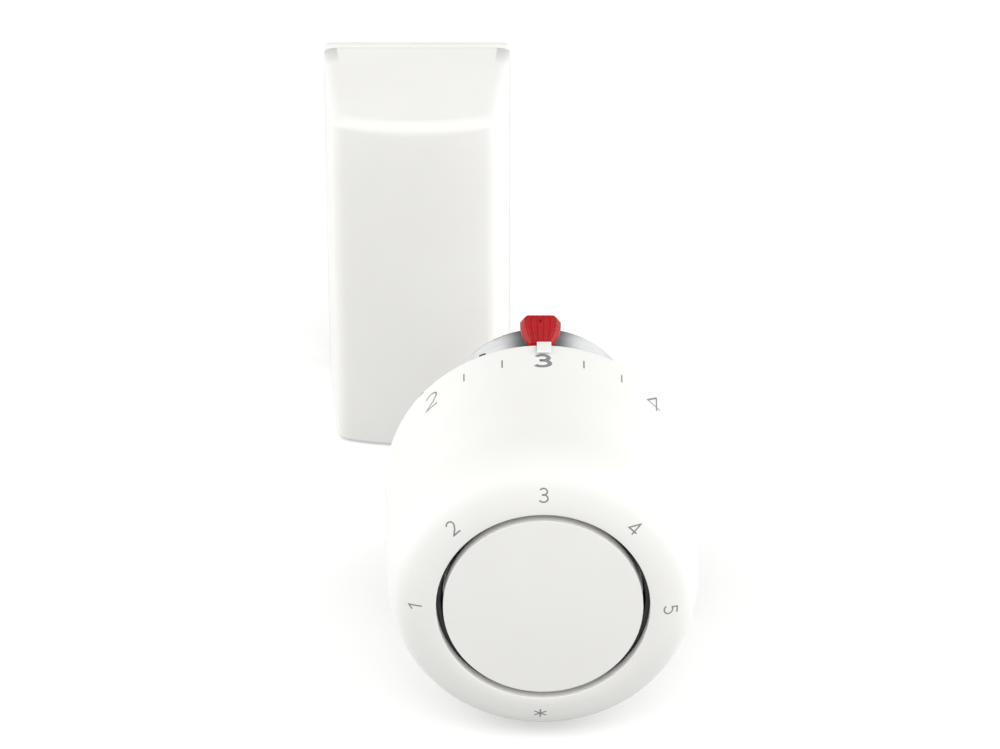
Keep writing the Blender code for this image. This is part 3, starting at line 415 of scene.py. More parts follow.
def build_cap():
    """The still disc in the dial's mouth, with its skirt and the spigot that plugs the guide tube."""
    edge = 0.14 * MM
    thick = 1.8 * MM
    skirt = 2.4 * MM
    spigot = 12.7 * MM
    depth = CAP_HIGH.y - FRONT
    outline = [
        (0, 0),
        *arc((edge, CAP_RADIUS - edge), edge, 180, 90, 5),
        (skirt, CAP_RADIUS),
        (skirt, CAP_RADIUS - 1.3 * MM),
        (thick, CAP_RADIUS - 1.3 * MM),
        (thick, spigot),
        (depth - 0.3 * MM, spigot),
        (depth, spigot - 0.3 * MM),
        (depth, spigot - 1.3 * MM),
        (thick, spigot - 1.3 * MM),
        (thick, 0),
    ]
    piece("cap_disc", spun(outline, 192, closed=False), WHITE_CAP, "base", "white_plastic", "end_cap")


def dial_skin():
    """The (station, radius) points of the dial's skin from the mouth back, and the length to each."""
    points = [(0, MOUTH_RADIUS), *face_line(), (DIAL_LENGTH, DIAL_BACK_RADIUS)]
    lengths = [0.0]
    for (a0, r0), (a1, r1) in zip(points, points[1:]):
        lengths.append(lengths[-1] + math.hypot(a1 - a0, r1 - r0))
    return points, lengths


SKIN, SKIN_LENGTHS = dial_skin()


def on_skin(length, across, angle, lift):
    """A point on the dial's skin: a length from the mouth, a distance across and a lift above it.

    Angles run clockwise from the top, seen from the front.
    """
    i = 0
    while i < len(SKIN_LENGTHS) - 2 and SKIN_LENGTHS[i + 1] < length:
        i += 1
    (a0, r0), (a1, r1) = SKIN[i], SKIN[i + 1]
    run = SKIN_LENGTHS[i + 1] - SKIN_LENGTHS[i]
    t = (length - SKIN_LENGTHS[i]) / run
    along = a0 + (a1 - a0) * t - lift * (r1 - r0) / run
    radius = r0 + (r1 - r0) * t + lift * (a1 - a0) / run
    angle += across / radius
    return Vector((AXIS_X + radius * math.sin(angle), FRONT + along, AXIS_Z + radius * math.cos(angle)))


def length_at_radius(radius):
    for (_, r), length in zip(SKIN, SKIN_LENGTHS):
        if r >= radius:
            return length
    return SKIN_LENGTHS[-1]


def bow(cx, cy, rx, ry, start, end, count=14):
    """Points along part of an ellipse, angles in degrees."""
    points = []
    for step in range(count + 1):
        angle = math.radians(start + (end - start) * step / count)
        points.append((cx + rx * math.cos(angle), cy + ry * math.sin(angle)))
    return points


def glyph(figure):
    """The pen strokes of a plain figure in a box one high, centred on x = 0."""
    if figure == "1":
        return [[(-0.24, 0.74), (0.04, 0.99), (0.04, 0.0)]]
    if figure == "2":
        top = bow(0.0, 0.715, 0.245, 0.27, 158, -28, 16)
        return [[*top, (0.09, 0.34), (-0.25, 0.0), (0.27, 0.0)]]
    if figure == "3":
        upper = bow(-0.015, 0.755, 0.225, 0.235, 150, -90, 18)
        lower = bow(-0.015, 0.265, 0.265, 0.265, 90, -150, 20)
        return [[*upper[:-1], (-0.10, 0.525)], [(-0.10, 0.525), *lower[1:]]]
    if figure == "4":
        return [[(0.13, 0.0), (0.13, 0.99), (-0.30, 0.27), (0.31, 0.27)]]
    if figure == "5":
        bowl = bow(-0.03, 0.315, 0.28, 0.315, 112, -145, 22)
        return [[(0.22, 0.99), (-0.17, 0.99), (-0.19, 0.60), *bowl]]
    strokes = []
    for arm in range(3):
        angle = math.radians(90 + 60 * arm)
        reach = (0.5 * math.cos(angle), 0.5 * math.sin(angle))
        strokes.append([(-reach[0], 0.5 - reach[1]), (reach[0], 0.5 + reach[1])])
    return strokes


def finely(points, spacing):
    """The same line with a point at least every spacing."""
    out = [points[0]]
    for (x0, y0), (x1, y1) in zip(points, points[1:]):
        count = max(1, math.ceil(math.hypot(x1 - x0, y1 - y0) / spacing))
        out += [(x0 + (x1 - x0) * i / count, y0 + (y1 - y0) * i / count) for i in range(1, count + 1)]
    return [Vector(point) for point in out]


def pen_stroke(bm, points, pen, place):
    """Draws a flat stroke: an edge as wide as the pen, extruded from point to point with mitred bends."""
    edge = None
    for i, point in enumerate(points):
        before = (point - points[i - 1]).normalized() if i else None
        after = (points[i + 1] - point).normalized() if i < len(points) - 1 else None
        run = ((before or after) + (after or before)).normalized()
        reach = pen / 2 / max(0.5, run.dot(after or before))
        side = Vector((-run.y, run.x)) * reach
        ends = [place(point + side), place(point - side)]
        if edge is None:
            edge = bm.edges.new([bm.verts.new(end) for end in ends])
            verts = list(edge.verts)
            continue
        made = bmesh.ops.extrude_edge_only(bm, edges=[edge])["geom"]
        new_edges = [item for item in made if isinstance(item, bmesh.types.BMEdge)]
        edge = next(item for item in new_edges if item.is_boundary and not set(item.verts) & set(verts))
        linked = [link.other_vert(verts[0]) for link in verts[0].link_edges]
        first = next(vert for vert in linked if vert in edge.verts)
        second = edge.other_vert(first)
        first.co, second.co = ends
        verts = [first, second]


def print_mark(bm, strokes, size, pen, degrees, length):
    """Prints pen strokes on the dial's skin, with their top away from the mouth."""
    width, height = size
    angle = math.radians(degrees)
    for stroke in strokes:
        points = finely([(x * width, (y - 0.5) * height) for x, y in stroke], 0.22 * MM)
        pen_stroke(bm, points, pen, lambda p: on_skin(length + p.y, p.x, angle, 0.014 * MM))


def ink_piece(name, bm):
    """Gives printed marks the thickness of the ink."""
    bmesh.ops.recalc_face_normals(bm, faces=bm.faces)
    bmesh.ops.solidify(bm, geom=bm.faces, thickness=0.02 * MM)
    bmesh.ops.recalc_face_normals(bm, faces=bm.faces)
    piece(name, bm, INK, "dial", "grey_plastic")


FACE_FIGURES = {"1": -90, "2": -45, "3": 0, "4": 45, "5": 92, "*": 181}


def build_print():
    """The face's figures, then the scale by the back edge with its ticks."""
    face = bmesh.new()
    middle = length_at_radius(21.45 * MM)
    for figure, degrees in FACE_FIGURES.items():
        size = (2.3 * MM, 2.1 * MM) if figure == "*" else (2.85 * MM, 2.35 * MM)
        print_mark(face, glyph(figure), size, 0.26 * MM, degrees, middle)
    ink_piece("face_figures", face)

    back = bmesh.new()
    end = SKIN_LENGTHS[-1]
    for figure, degrees in FACE_FIGURES.items():
        if figure == "3":
            print_mark(back, glyph(figure), (5.0 * MM, 3.8 * MM), 0.80 * MM, degrees + 0.2, end - 5.35 * MM)
        else:
            print_mark(back, glyph(figure), (5.0 * MM, 4.4 * MM), 0.36 * MM, degrees + 0.4, end - 5.45 * MM)
    for degrees in (-30, -15, 15, 30):
        print_mark(back, [[(0, 0), (0, 1)]], (MM, 2.5 * MM), 0.27 * MM, degrees + 0.4, end - 5.0 * MM)
    ink_piece("side_scale", back)


# ---------------------------------------------------------------- collar, button and pointer


def build_collar():
    """The nickel-plated sleeve, turned, with the window that the button's foot goes through."""
    bore = COLLAR_RADIUS - 1.8 * MM
    front = COLLAR_LOW.y - FRONT
    back = COLLAR_HIGH.y - FRONT
    middle = (BUTTON_LOW.y + BUTTON_HIGH.y) / 2 - FRONT
    half_length = 3.3 * MM
    half_angle = math.degrees(math.asin(2.5 * MM / COLLAR_RADIUS))
    edge = 0.25 * MM
    ahead = [
        (front, bore),
        *arc((front + edge, COLLAR_RADIUS - edge), edge, 180, 90, 4),
        (middle - half_length, COLLAR_RADIUS),
        (middle - half_length, bore),
    ]
    turn = 0.9 * MM
    behind = [
        (middle + half_length, bore),
        (middle + half_length, COLLAR_RADIUS),
        *arc((back - turn, COLLAR_RADIUS - turn), turn, 90, 0, 8),
        (back, bore + edge),
        (back - edge, bore),
    ]
    bm = spun(ahead, 192)
    rear = spun(behind, 192)
    mesh = bpy.data.meshes.new("collar_rear")
    rear.to_mesh(mesh)
    rear.free()
    bm.from_mesh(mesh)
    bpy.data.meshes.remove(mesh)
    wall = [
        (middle - half_length, bore),
        (middle - half_length, COLLAR_RADIUS),
        (middle + half_length, COLLAR_RADIUS),
        (middle + half_length, bore),
    ]
    sector(bm, wall, 90 + half_angle, 450 - half_angle)
    bmesh.ops.recalc_face_normals(bm, faces=bm.faces)
    piece("nickel_collar", bm, NICKEL, "base", "nickel_plate", "coupling_collar")


def build_button():
    """The red catch: a ribbed wedge with its back corners cut off and soft shoulders, on a foot."""
    low = BUTTON_LOW.z - AXIS_Z + 1.9 * MM
    top_front, top_back = low + 0.75 * MM, BUTTON_HIGH.z - AXIS_Z
    y0, y1 = BUTTON_LOW.y, BUTTON_HIGH.y
    length = y1 - y0
    half_widths = [
        (0, 2.2),
        (0.12, 2.6),
        (0.28, 3.0),
        (0.48, 3.38),
        (0.68, 3.6),
        (0.86, 3.65),
        (0.94, 3.3),
        (1, 2.6),
    ]

    def half_width(t):
        for (t0, w0), (t1, w1) in zip(half_widths, half_widths[1:]):
            if t <= t1:
                f = (t - t0) / (t1 - t0)
                return (w0 + (w1 - w0) * f) * MM
        return half_widths[-1][1] * MM

    bm = bmesh.new()
    bmesh.ops.create_grid(bm, x_segments=100, y_segments=44, size=0.5)
    for vert in bm.verts:
        s, t = vert.co.x * 2, vert.co.y + 0.5
        wide = half_width(t)
        shoulder = max(0.0, (abs(s) - 0.76) / 0.24)
        flat = max(0.0, 1 - abs(s) / 0.78)
        rib = (0.5 - 0.5 * math.cos(math.tau * 2.5 * (s / 0.78 + 1))) ** 2
        rib *= min(1, 6 * flat) * min(1, 14 * t, 10 * (1 - t))
        height = top_front + (top_back - top_front) * t
        height -= 1.15 * MM * shoulder**1.25 * (1.15 - 0.4 * t)
        height -= 0.12 * MM * rib
        notch = max(0.0, 1 - math.hypot(s * wide / (0.35 * MM), (t - 0.80) * length / (0.8 * MM)))
        height -= 0.45 * MM * notch
        ends = max(0.0, 1 - t * length / (0.4 * MM)) ** 2 + max(0.0, 1 - (1 - t) * length / (0.4 * MM)) ** 2
        height -= 0.22 * MM * ends
        vert.co = (AXIS_X + s * wide, y0 + t * length, AXIS_Z + max(height, low + 0.15 * MM))
    skirt = [edge for edge in bm.edges if edge.is_boundary]
    made = bmesh.ops.extrude_edge_only(bm, edges=skirt)["geom"]
    lower = [item for item in made if isinstance(item, bmesh.types.BMVert)]
    for vert in lower:
        vert.co.z = AXIS_Z + low
    ring = [e for e in bm.edges if e.is_boundary]
    bmesh.ops.contextual_create(bm, geom=ring)
    half = 2.2 * MM
    middle = (y0 + y1) / 2
    block(
        bm,
        (AXIS_X - half, middle - 3 * MM, BUTTON_LOW.z),
        (AXIS_X + half, middle + 3 * MM, AXIS_Z + low + 0.05 * MM),
    )
    weld(bm)
    piece("red_catch", bm, RED, "latch", "red_plastic", "release_button", smooth=38)


def build_notches():
    """Two small dark blocks on the flange, just behind the dial's rim: painted shade that stands in for the
    shadow in two small notches there.
    """
    bm = bmesh.new()
    for degrees in (-22.5, -51):
        # painted shade: a dark block sits where the rim has a shadowed notch
        shade_block = block(
            bm,
            (AXIS_X - 0.6 * MM, FRONT + DIAL_LENGTH + 0.5 * MM, AXIS_Z + FLANGE_RADIUS - 0.3 * MM),
            (AXIS_X + 0.6 * MM, FRONT + DIAL_LENGTH + 1.3 * MM, AXIS_Z + DIAL_BACK_RADIUS - 0.4 * MM),
        )
        turn = Matrix.Rotation(math.radians(degrees), 3, "Y")
        bmesh.ops.rotate(bm, cent=(AXIS_X, 0, AXIS_Z), matrix=turn, verts=shade_block)
    soften(bm, 0.1 * MM)
    piece("notch_shade_blocks", bm, PAINTED_SHADE_DARK, "base", "grey_plastic")


def build_pointer():
    """The white index mark that hooks over the dial's back edge."""
    under = DIAL_BACK_RADIUS + 0.22 * MM
    thick = 0.38 * MM
    tip = POINTER_LOW.y - FRONT - 1.2 * MM
    foot_front = POINTER_HIGH.y - FRONT - 1.5 * MM
    foot_back = POINTER_HIGH.y - FRONT - 0.95 * MM
    foot_low = POINTER_LOW.z - AXIS_Z
    profile = [
        (tip, under),
        (tip, under + thick * 0.6),
        (tip + thick * 0.5, under + thick),
        (DIAL_LENGTH - 0.6 * MM, under + thick),
        (DIAL_LENGTH + 0.2 * MM, under + thick * 0.8),
        (foot_back, min(FLANGE_RADIUS + 0.1 * MM, under)),
        (foot_back, foot_low),
        (foot_front, foot_low),
        (foot_front, FLANGE_RADIUS + 0.3 * MM),
        (DIAL_LENGTH + 0.35 * MM, under),
    ]
    bm = bmesh.new()
    middle = AXIS_X + 0.4 * MM
    bar(bm, profile, 2.5 * MM, lambda u, v, w: (middle + w, FRONT + u, AXIS_Z + v))
    outward(bm)
    soften(bm, 0.08 * MM)
    piece("white_pointer", bm, WHITE_CAP, "base", "white_plastic", "index_pointer")


# ---------------------------------------------------------------- housing and the parts behind the dial


def build_housing():
    """Guide tube, rear flange, neck and the split sleeve with its lock-ring groove and pin web."""
    back = BASE_HIGH.y - FRONT
    front = BASE_LOW.y - FRONT
    flange_front = DIAL_LENGTH + 0.4 * MM
    flange_back = flange_front + 2.0 * MM
    neck_back = flange_back + 3.9 * MM
    bore, sleeve = 11.6 * MM, 15.0 * MM
    guide_bore, guide = 13.0 * MM, 14.9 * MM
    web_back = 48.6 * MM
    web_front = web_back - 2.0 * MM
    slots_from = back - 9.0 * MM
    edge = 0.3 * MM
    outline = [
        (front, guide_bore),
        (front, guide),
        (flange_front, guide),
        (flange_front, FLANGE_RADIUS),
        *arc((flange_back - edge, FLANGE_RADIUS - edge), edge, 90, 0, 3),
        (flange_back, COLLAR_RADIUS + 2 * edge),
        *arc((flange_back + 2 * edge, COLLAR_RADIUS + 2 * edge), 2 * edge, 180, 270, 4)[1:],
        *arc((neck_back - edge, COLLAR_RADIUS - edge), edge, 90, 0, 3),
        (neck_back, sleeve),
        (slots_from, sleeve),
        (slots_from, bore),
        (web_back, bore),
        (web_back, 2.9 * MM),
        (web_front, 2.9 * MM),
        (web_front, guide_bore),
    ]
    bm = spun(outline, 160)
    seat = bore + 1.3 * MM
    finger = [
        (slots_from, bore),
        (slots_from, sleeve),
        (back - 2 * edge, sleeve),
        (back, sleeve - 2 * edge),
        (back, bore + 2 * edge),
        (back - 2 * edge, bore),
        (61.6 * MM, bore),
        (61.6 * MM, seat),
        (59.6 * MM, seat),
        (59.6 * MM, bore),
    ]
    half = math.degrees(math.asin(1.0 * MM / sleeve))
    for slot in (30, 150, 270):
        sector(bm, finger, slot + half, slot + 120 - half)
    bmesh.ops.recalc_face_normals(bm, faces=bm.faces)
    piece("split_housing", bm, WHITE_CASE, "base", "white_plastic", "base_housing")


def build_behind():
    """Lock ring, pressure pin, the two limit pins and the capillary's gland."""
    ring = bmesh.new()
    wire = 0.45 * MM
    low, high = corners("lock_ring")
    middle = (low.y + high.y) / 2 - FRONT
    outer = (high.x - low.x) / 2
    section = [(middle + u, outer - 0.35 * MM + v) for u, v in arc((0, 0), wire * 0.75, 0, 315, 7)]
    sector(ring, section, -60, 240)
    weld(ring)
    piece("snap_ring", ring, STEEL, "base", "spring_steel", "lock_ring")

    low, high = corners("pressure_pin")
    flange = (high.x - low.x) / 2
    start, end = low.y - FRONT, high.y - FRONT
    stem, tip = 2.5 * MM, 0.9 * MM
    outline = [
        (start, 0),
        (start, flange - 0.2 * MM),
        (start + 0.2 * MM, flange),
        (start + 1.5 * MM, flange),
        (start + 1.5 * MM, stem + 0.4 * MM),
        (start + 1.9 * MM, stem),
        *arc((end - tip, stem - tip), tip, 90, 0, 6),
        (end, 0),
    ]
    piece("push_pin", spun(outline, 64, closed=False), BRASS, "pin", "brass", "pressure_pin")

    for name, new in (("limit_pin_low", "low_stop_pin"), ("limit_pin_high", "high_stop_pin")):
        low, high = corners(name)
        centre = ((low.x + high.x) / 2, (low.z + high.z) / 2)
        start, end = low.y - FRONT, high.y - FRONT
        head = end - 1.0 * MM
        outline = [
            (start, 0),
            (start, 0.7 * MM),
            (start + 0.3 * MM, 1.0 * MM),
            (head, 1.0 * MM),
            (head, 1.7 * MM),
            *arc((end - 0.4 * MM, 1.3 * MM), 0.4 * MM, 90, 0, 4),
            (end, 0.9 * MM),
            (end - 0.35 * MM, 0.75 * MM),
            (end - 0.35 * MM, 0),
        ]
        piece(new, spun(outline, 48, False, centre), GREY_NYLON, "base", "grey_plastic", name)

    low, high = corners("head_gland")
    centre = ((low.x + high.x) / 2, (low.z + high.z) / 2)
    start, end = low.y - FRONT, high.y - FRONT
    wide = (high.x - low.x) / 2
    ribs = []
    for place in range(4):
        station = start + 3.2 * MM + place * 1.4 * MM
        radius = wide - (0.25 + 0.14 * place) * MM
        ribs += [(station, radius - 0.28 * MM), (station + 0.2 * MM, radius), (station + 0.7 * MM, radius)]
        ribs += [(station + 0.9 * MM, radius - 0.28 * MM)]
    outline = [
        (start, 0),
        (start, wide - 0.2 * MM),
        (start + 0.2 * MM, wide),
        (start + 2.4 * MM, wide),
        (start + 2.6 * MM, wide - 0.3 * MM),
        *ribs,
        (end, 1.55 * MM),
        (end, 1.2 * MM),
        (end - 5 * MM, 1.2 * MM),
        (end - 5 * MM, 0),
    ]
    piece("capillary_gland", spun(outline, 64, False, centre), RUBBER, "base", "black_rubber", "head_gland")


# ---------------------------------------------------------------- sensor box


def cover_plan(front_inset, side_inset, back):
    """The cover's plan from its left back corner round its bowed front to its right back corner."""
    depth_front = COVER_LOW.y + front_inset
    half_front = 15.15 * MM - side_inset
    half_back = (COVER_HIGH.x - COVER_LOW.x) / 2 - side_inset
    bow_depth = 2.7 * MM
    corner_y = depth_front + bow_depth
    lean = (half_back - half_front) / (back - corner_y)
    bend = 2.2 * MM
    count = 12
    run = back - corner_y - bend
    points = [(-half_back + lean * run * i / 4, back - run * i / 4) for i in range(4)]
    face_x = -half_front + bend
    side = (-half_front - lean * bend, corner_y + bend)
    face = (face_x, depth_front + bow_depth * (face_x / half_front) ** 2)
    points += [blend_curve(side, (-half_front, corner_y), face, step / 8) for step in range(9)]
    for step in range(1, count):
        x = face_x * (1 - step / count)
        points.append((x, depth_front + bow_depth * (x / half_front) ** 2))
    points.append((0, depth_front))
    points += [(-x, y) for x, y in points[-2::-1]]
    return [(COVER_X + x, y) for x, y in points]


def build_cover():
    """The sensor's case: a thin moulded shell, open at the back, with its front edges rounded."""
    back = COVER_HIGH.y
    low, high = COVER_LOW.z, COVER_HIGH.z
    front_turn, side_turn, foot = 2.4 * MM, 2.4 * MM, 1.0 * MM
    levels = []
    for step in range(7):
        angle = math.radians(15 * step)
        draw_in = foot * (1 - math.sin(angle))
        levels.append((low + foot * (1 - math.cos(angle)), draw_in, draw_in))
    levels += [(low + 8 * MM, 0, 0), (high - 8 * MM, 0, 0)]
    for step in range(9):
        angle = math.radians(90 * step / 8)
        rise = high - front_turn * (1 - math.sin(angle))
        levels.append((rise, front_turn * (1 - math.cos(angle)), side_turn * (1 - math.cos(angle))))
    bm = bmesh.new()
    rows = []
    wide = (COVER_HIGH.x - COVER_LOW.x) / 2
    for height, front_inset, side_inset in levels:
        drop = high - height if height - high + front_turn > 0 else 0
        plan = cover_plan(front_inset, side_inset, back)
        rows.append(line(bm, [(x, y, height + drop * 0.5 * ((x - COVER_X) / wide) ** 2) for x, y in plan]))
    for (_, near), (_, far) in zip(rows, rows[1:]):
        bmesh.ops.bridge_loops(bm, edges=near + far)
    for verts, edges in (rows[0], rows[-1]):
        closing = bm.edges.new((verts[0], verts[-1]))
        ends = bmesh.ops.contextual_create(bm, geom=[*edges, closing])["faces"]
        bmesh.ops.inset_region(bm, faces=ends, thickness=0.3 * MM, use_boundary=True, use_even_offset=True)
    weld(bm)
    half = 3.0 * MM
    notch = back - 8.7 * MM
    cuts = [
        ((COVER_X - half, 0, 0), (1, 0, 0)),
        ((COVER_X + half, 0, 0), (1, 0, 0)),
        ((0, notch, 0), (0, 1, 0)),
    ]
    for place, normal in cuts:
        floor = [f for f in bm.faces if f.calc_center_median().z < low + 0.01 * MM]
        geom = floor + [e for f in floor for e in f.edges] + [v for f in floor for v in f.verts]
        bmesh.ops.bisect_plane(bm, geom=list(dict.fromkeys(geom)), plane_co=place, plane_no=normal)
    hole = [
        f
        for f in bm.faces
        if f.calc_center_median().z < low + 0.01 * MM
        and abs(f.calc_center_median().x - COVER_X) < half
        and f.calc_center_median().y > notch
    ]
    bmesh.ops.delete(bm, geom=hole, context="FACES")
    made = piece("sensor_case", bm, WHITE_CASE, "cover", "white_plastic", "sensor_cover", smooth=28)
    made.visible_glossy = False
    wall = made.modifiers.new("wall", "SOLIDIFY")
    wall.thickness = 1.6 * MM
    wall.offset = -1
    wall.use_even_offset = True


def build_plate():
    """The wall plate, with the raised step that locates the case and two countersunk holes."""
    radius, thick, step_in = 1.2 * MM, 2.5 * MM, 2.2 * MM
    hole, sink, sink_depth = 2.2 * MM, 3.4 * MM, 1.2 * MM
    back = PLATE_HIGH.y
    front = back - 2 * thick
    x0, x1, z0, z1 = PLATE_LOW.x, PLATE_HIGH.x, PLATE_LOW.z, PLATE_HIGH.z
    middle_x, middle_z = (x0 + x1) / 2, (z0 + z1) / 2
    outline = [
        *arc((x0 + radius, z0 + radius), radius, 180, 270, 5),
        *arc((x1 - radius, z0 + radius), radius, 270, 360, 5),
        *arc((x1 - radius, z1 - radius), radius, 0, 90, 5),
        *arc((x0 + radius, z1 - radius), radius, 90, 180, 5),
    ]
    bm = bmesh.new()
    face = bm.faces.new([bm.verts.new((x, back, z)) for x, z in outline])
    for is_step in (False, True):
        if is_step:
            bmesh.ops.inset_region(bm, faces=[face], thickness=0, use_boundary=True)
            for vert in face.verts:
                vert.co.x += math.copysign(step_in, middle_x - vert.co.x)
                vert.co.z += math.copysign(step_in, middle_z - vert.co.z)
        pushed = bmesh.ops.extrude_face_region(bm, geom=[face], use_keep_orig=not is_step)["geom"]
        if is_step:
            bmesh.ops.delete(bm, geom=[face], context="FACES_ONLY")
        face = next(item for item in pushed if isinstance(item, bmesh.types.BMFace))
        bmesh.ops.translate(bm, verts=face.verts, vec=(0, -thick, 0))
    outward(bm)
    soften(bm, 0.25 * MM, 60)
    holes = []
    for side in (-1, 1):
        x0, z0 = COVER_X + side * 8 * MM, middle_z + side * 24 * MM
        loops = []
        for y, wide in ((back, hole), (front + sink_depth, hole), (front, sink)):
            ring = [(x0 + x, y, z0 + z) for x, z in arc((0, 0), wide, 0, 360 - 7.5, 47)]
            loops.append(line(bm, ring, closed=True)[1])
        for near, far in zip(loops, loops[1:]):
            bmesh.ops.bridge_loops(bm, edges=near + far)
        holes.append(loops)
    for station, end in ((back, 0), (front, -1)):
        flats = [f for f in bm.faces if len(f.verts) > 8]
        flat = next(f for f in flats if abs(f.calc_center_median().y - station) < 0.01 * MM)
        edges = [*flat.edges, *holes[0][end], *holes[1][end]]
        bmesh.ops.delete(bm, geom=[flat], context="FACES_ONLY")
        bmesh.ops.triangle_fill(bm, edges=edges, use_beauty=True)
    weld(bm)
    made = piece("wall_plate", bm, WHITE_CASE, "base", "white_plastic", "sensor_wall_plate", smooth=28)
    made.visible_glossy = False


def build_inside():
    """What the case covers: the bulb in its two clips, the spool and the grommet."""
    low, high = corners("sensor_bulb")
    centre = ((low.x + high.x) / 2, (low.y + high.y) / 2)
    radius = (high.x - low.x) / 2
    foot = arc((low.z + radius, 0), radius, 180, 90, 10)
    top = arc((high.z - radius, 0), radius, 90, 0, 10)
    outline = [(z, abs(r)) for z, r in (*foot, *top)]
    bulb = spun(outline, 96, False, centre, upright=True)
    piece("copper_bulb", bulb, COPPER, "base", "copper", "sensor_bulb")

    for name, new in (("bulb_clip_lower", "lower_clip"), ("bulb_clip_upper", "upper_clip")):
        clip_low, clip_high = corners(name)
        inner, outer = radius + 0.3 * MM, radius + 1.5 * MM
        z0, z1 = clip_low.z, clip_high.z
        edge = 0.2 * MM
        section = [
            (z0, inner),
            (z0, outer - edge),
            (z0 + edge, outer),
            (z1 - edge, outer),
            (z1, outer - edge),
            (z1, inner),
        ]
        bm = bmesh.new()
        sector(bm, section, -35, 215, centre, upright=True)
        block(
            bm,
            (centre[0] - 1.2 * MM, centre[1] + outer - 0.5 * MM, z0 + MM),
            (centre[0] + 1.2 * MM, clip_high.y, z1 - MM),
        )
        bmesh.ops.recalc_face_normals(bm, faces=bm.faces)
        piece(new, bm, GREY_NYLON, "base", "grey_plastic", name)

    low, high = corners("capillary_spool")
    centre = ((low.x + high.x) / 2, (low.z + high.z) / 2)
    front, back = low.y - FRONT, high.y - FRONT
    drum, hub, flange, edge = (high.x - low.x) / 2, 8.0 * MM, 1.2 * MM, 0.3 * MM
    outline = [
        (front, 0),
        *arc((front + edge, drum - edge), edge, 180, 90, 3),
        (front + flange, drum),
        (front + flange, hub),
        (back - flange, hub),
        (back - flange, drum),
        *arc((back - edge, drum - edge), edge, 90, 0, 3),
        (back, 0),
    ]
    spool = spun(outline, 96, False, centre)
    piece("winding_spool", spool, GREY_NYLON, "base", "grey_plastic", "capillary_spool")

    low, high = corners("sensor_grommet")
    centre = ((low.x + high.x) / 2, (low.y + high.y) / 2)
    radius, edge = (high.x - low.x) / 2, 0.25 * MM
    outline = [
        (low.z, 1.2 * MM),
        *[(low.z + edge - edge * math.cos(t), radius - edge + edge * math.sin(t)) for t in (0, 0.8, 1.57)],
        (low.z + 1.2 * MM, radius),
        (low.z + 1.5 * MM, radius - 0.4 * MM),
        (high.z - 1.2 * MM, radius - 0.4 * MM),
        (high.z - 0.9 * MM, radius),
        (high.z - edge, radius),
        (high.z, radius - edge),
        (high.z, 1.2 * MM),
    ]
    grommet = spun(outline, 64, True, centre, upright=True)
    piece("notch_grommet", grommet, RUBBER, "base", "black_rubber", "sensor_grommet")


# ---------------------------------------------------------------- camera, light and floor


def aim(thing, target):
    direction = Vector(target) - thing.location
    thing.rotation_euler = direction.to_track_quat("-Z", "Y").to_euler()


def add_camera():
    data = bpy.data.cameras.new("camera")
    data.lens = 154.9
    data.sensor_width = 36
    data.clip_start = 0.05
    made = bpy.data.objects.new("camera", data)
    made.location = (AXIS_X - 7.23 * MM, FRONT - 613.7 * MM, AXIS_Z + 381.3 * MM)
    made.rotation_euler = (math.radians(61.25), 0, 0)
    bpy.context.scene.collection.objects.link(made)
    bpy.context.scene.camera = made


def add_area(name, place, target, size, power):
    data = bpy.data.lights.new(name, "AREA")
    data.shape = "RECTANGLE"
    data.size, data.size_y = size
    data.energy = power
    made = bpy.data.objects.new(name, data)
    made.location = place
    bpy.context.scene.collection.objects.link(made)
    aim(made, target)


def stage_material(name, colour, rough=0.9, emission=0.0):
    m = Nodes(name)
    m.shader.inputs["Base Color"].default_value = (*colour, 1)
    m.shader.inputs["Roughness"].default_value = rough
    m.shader.inputs["Emission Color"].default_value = (*colour, 1)
    m.shader.inputs["Emission Strength"].default_value = emission
    return m.material


def stage_plane(name, size, matrix, surface):
    bm = bmesh.new()
    matrix = matrix @ Matrix.Diagonal((*size, 1, 1))
    bmesh.ops.create_grid(bm, x_segments=1, y_segments=1, size=0.5, matrix=matrix)
    mesh = bpy.data.meshes.new(name)
    bm.to_mesh(mesh)
    bm.free()
    mesh.materials.append(surface)
    made = bpy.data.objects.new(name, mesh)
    made.visible_diffuse = False
    bpy.context.scene.collection.objects.link(made)


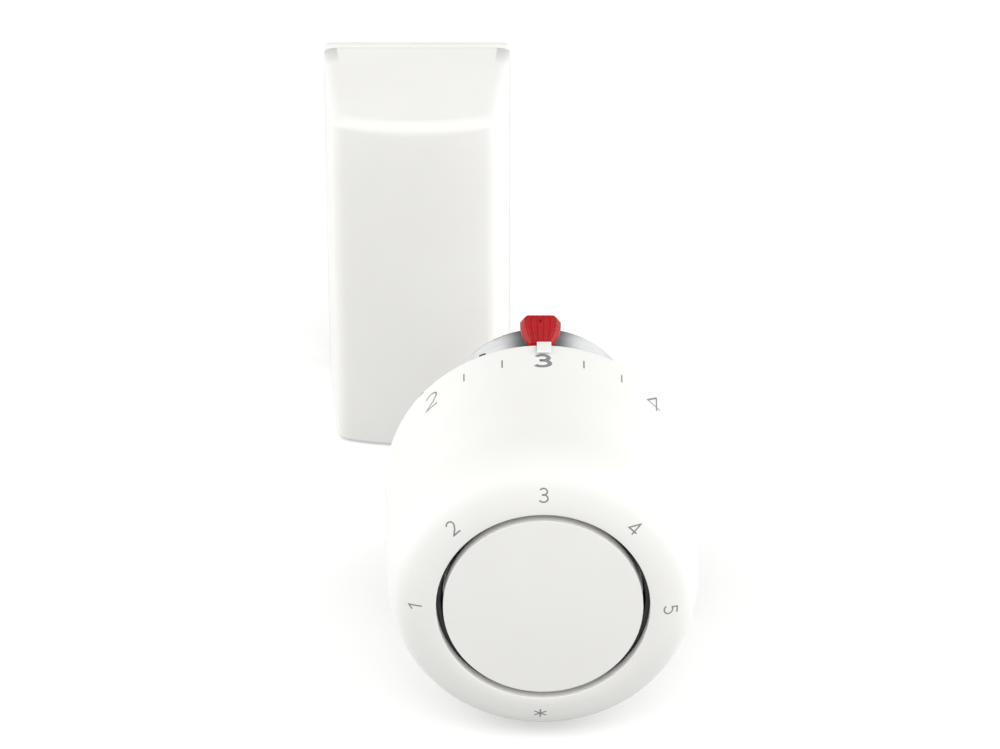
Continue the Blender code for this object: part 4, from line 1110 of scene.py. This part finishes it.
def add_studio():
    """A white light tent: bright at the sides and in front, with a dark gap between two panels behind."""
    world = bpy.data.worlds.new("tent")
    world.use_nodes = True
    bpy.context.scene.world = world
    bpy.context.scene.view_settings.view_transform = "Standard"
    tree = world.node_tree
    background = tree.nodes["Background"]
    background.inputs["Color"].default_value = (1, 1, 0.995, 1)
    coords = tree.nodes.new("ShaderNodeTexCoord")
    split = tree.nodes.new("ShaderNodeSeparateXYZ")
    tree.links.new(coords.outputs["Generated"], split.inputs[0])

    def maths(operation, *values):
        node = tree.nodes.new("ShaderNodeMath")
        node.operation = operation
        for socket, value in zip(node.inputs, values):
            if isinstance(value, float):
                socket.default_value = value
            else:
                tree.links.new(value, socket)
        return node.outputs[0]

    def ramp(value, start, end, low, high):
        node = tree.nodes.new("ShaderNodeMapRange")
        node.interpolation_type = "SMOOTHSTEP"
        tree.links.new(value, node.inputs["Value"])
        set_range(node, start, end, low, high)
        return node.outputs["Result"]

    across = maths("ABSOLUTE", split.outputs["X"])
    ahead = maths("MAXIMUM", maths("MULTIPLY", split.outputs["Y"], -1.0), 0.0)
    above = maths("MAXIMUM", split.outputs["Z"], 0.0)
    tent = maths("MULTIPLY_ADD", maths("POWER", across, 3.0), 1.70, 0.335)
    tent = maths("MULTIPLY_ADD", above, 0.26, tent)
    tent = maths("MULTIPLY_ADD", maths("MULTIPLY", ahead, above), 2.00, tent)
    tent = maths("MULTIPLY_ADD", maths("MULTIPLY", ahead, split.outputs["X"]), 0.30, tent)
    behind = ramp(split.outputs["Y"], 0.62, 0.84, 0.0, 1.0)
    panels = ramp(across, 0.16, 0.40, 0.14, 1.25)
    change = maths("MULTIPLY", behind, maths("SUBTRACT", panels, tent))
    tree.links.new(maths("ADD", tent, change), background.inputs["Strength"])

    floor = stage_material("floor_white", (0.95, 0.95, 0.945), 0.95, 0.11)
    stage_plane("floor", (6, 6), Matrix.Translation((0, 0, -0.02 * MM)), floor)
    add_area("soft_key", (0.10, -0.35, 0.60), (0, -0.03, 0.03), (0.35, 0.25), 0.20)


# ---------------------------------------------------------------- making


def dress_frame():
    """Gives the CAD nodes that still show their surfaces."""
    surfaces = {
        "white_plastic": WHITE,
        "grey_plastic": GREY_NYLON,
        "red_plastic": RED,
        "nickel_plate": NICKEL,
        "spring_steel": STEEL,
        "brass": BRASS,
        "copper": COPPER,
        "black_rubber": RUBBER,
    }
    for entry in frame["record"]["subparts"]:
        node = NODES[entry["node"]]
        node.data.materials.clear()
        node.data.materials.append(surfaces[entry["material_slot"]])
    # painted shade: the setting ring is made near-black so the groove round the cap disc reads dark
    NODES["setting_ring"].data.materials[0] = PAINTED_SHADE_DARK


add_camera()
add_studio()
dress_frame()
build_dial()
build_cap()
build_print()
build_collar()
build_button()
build_pointer()
build_notches()
build_housing()
build_behind()
build_cover()
build_plate()
build_inside()
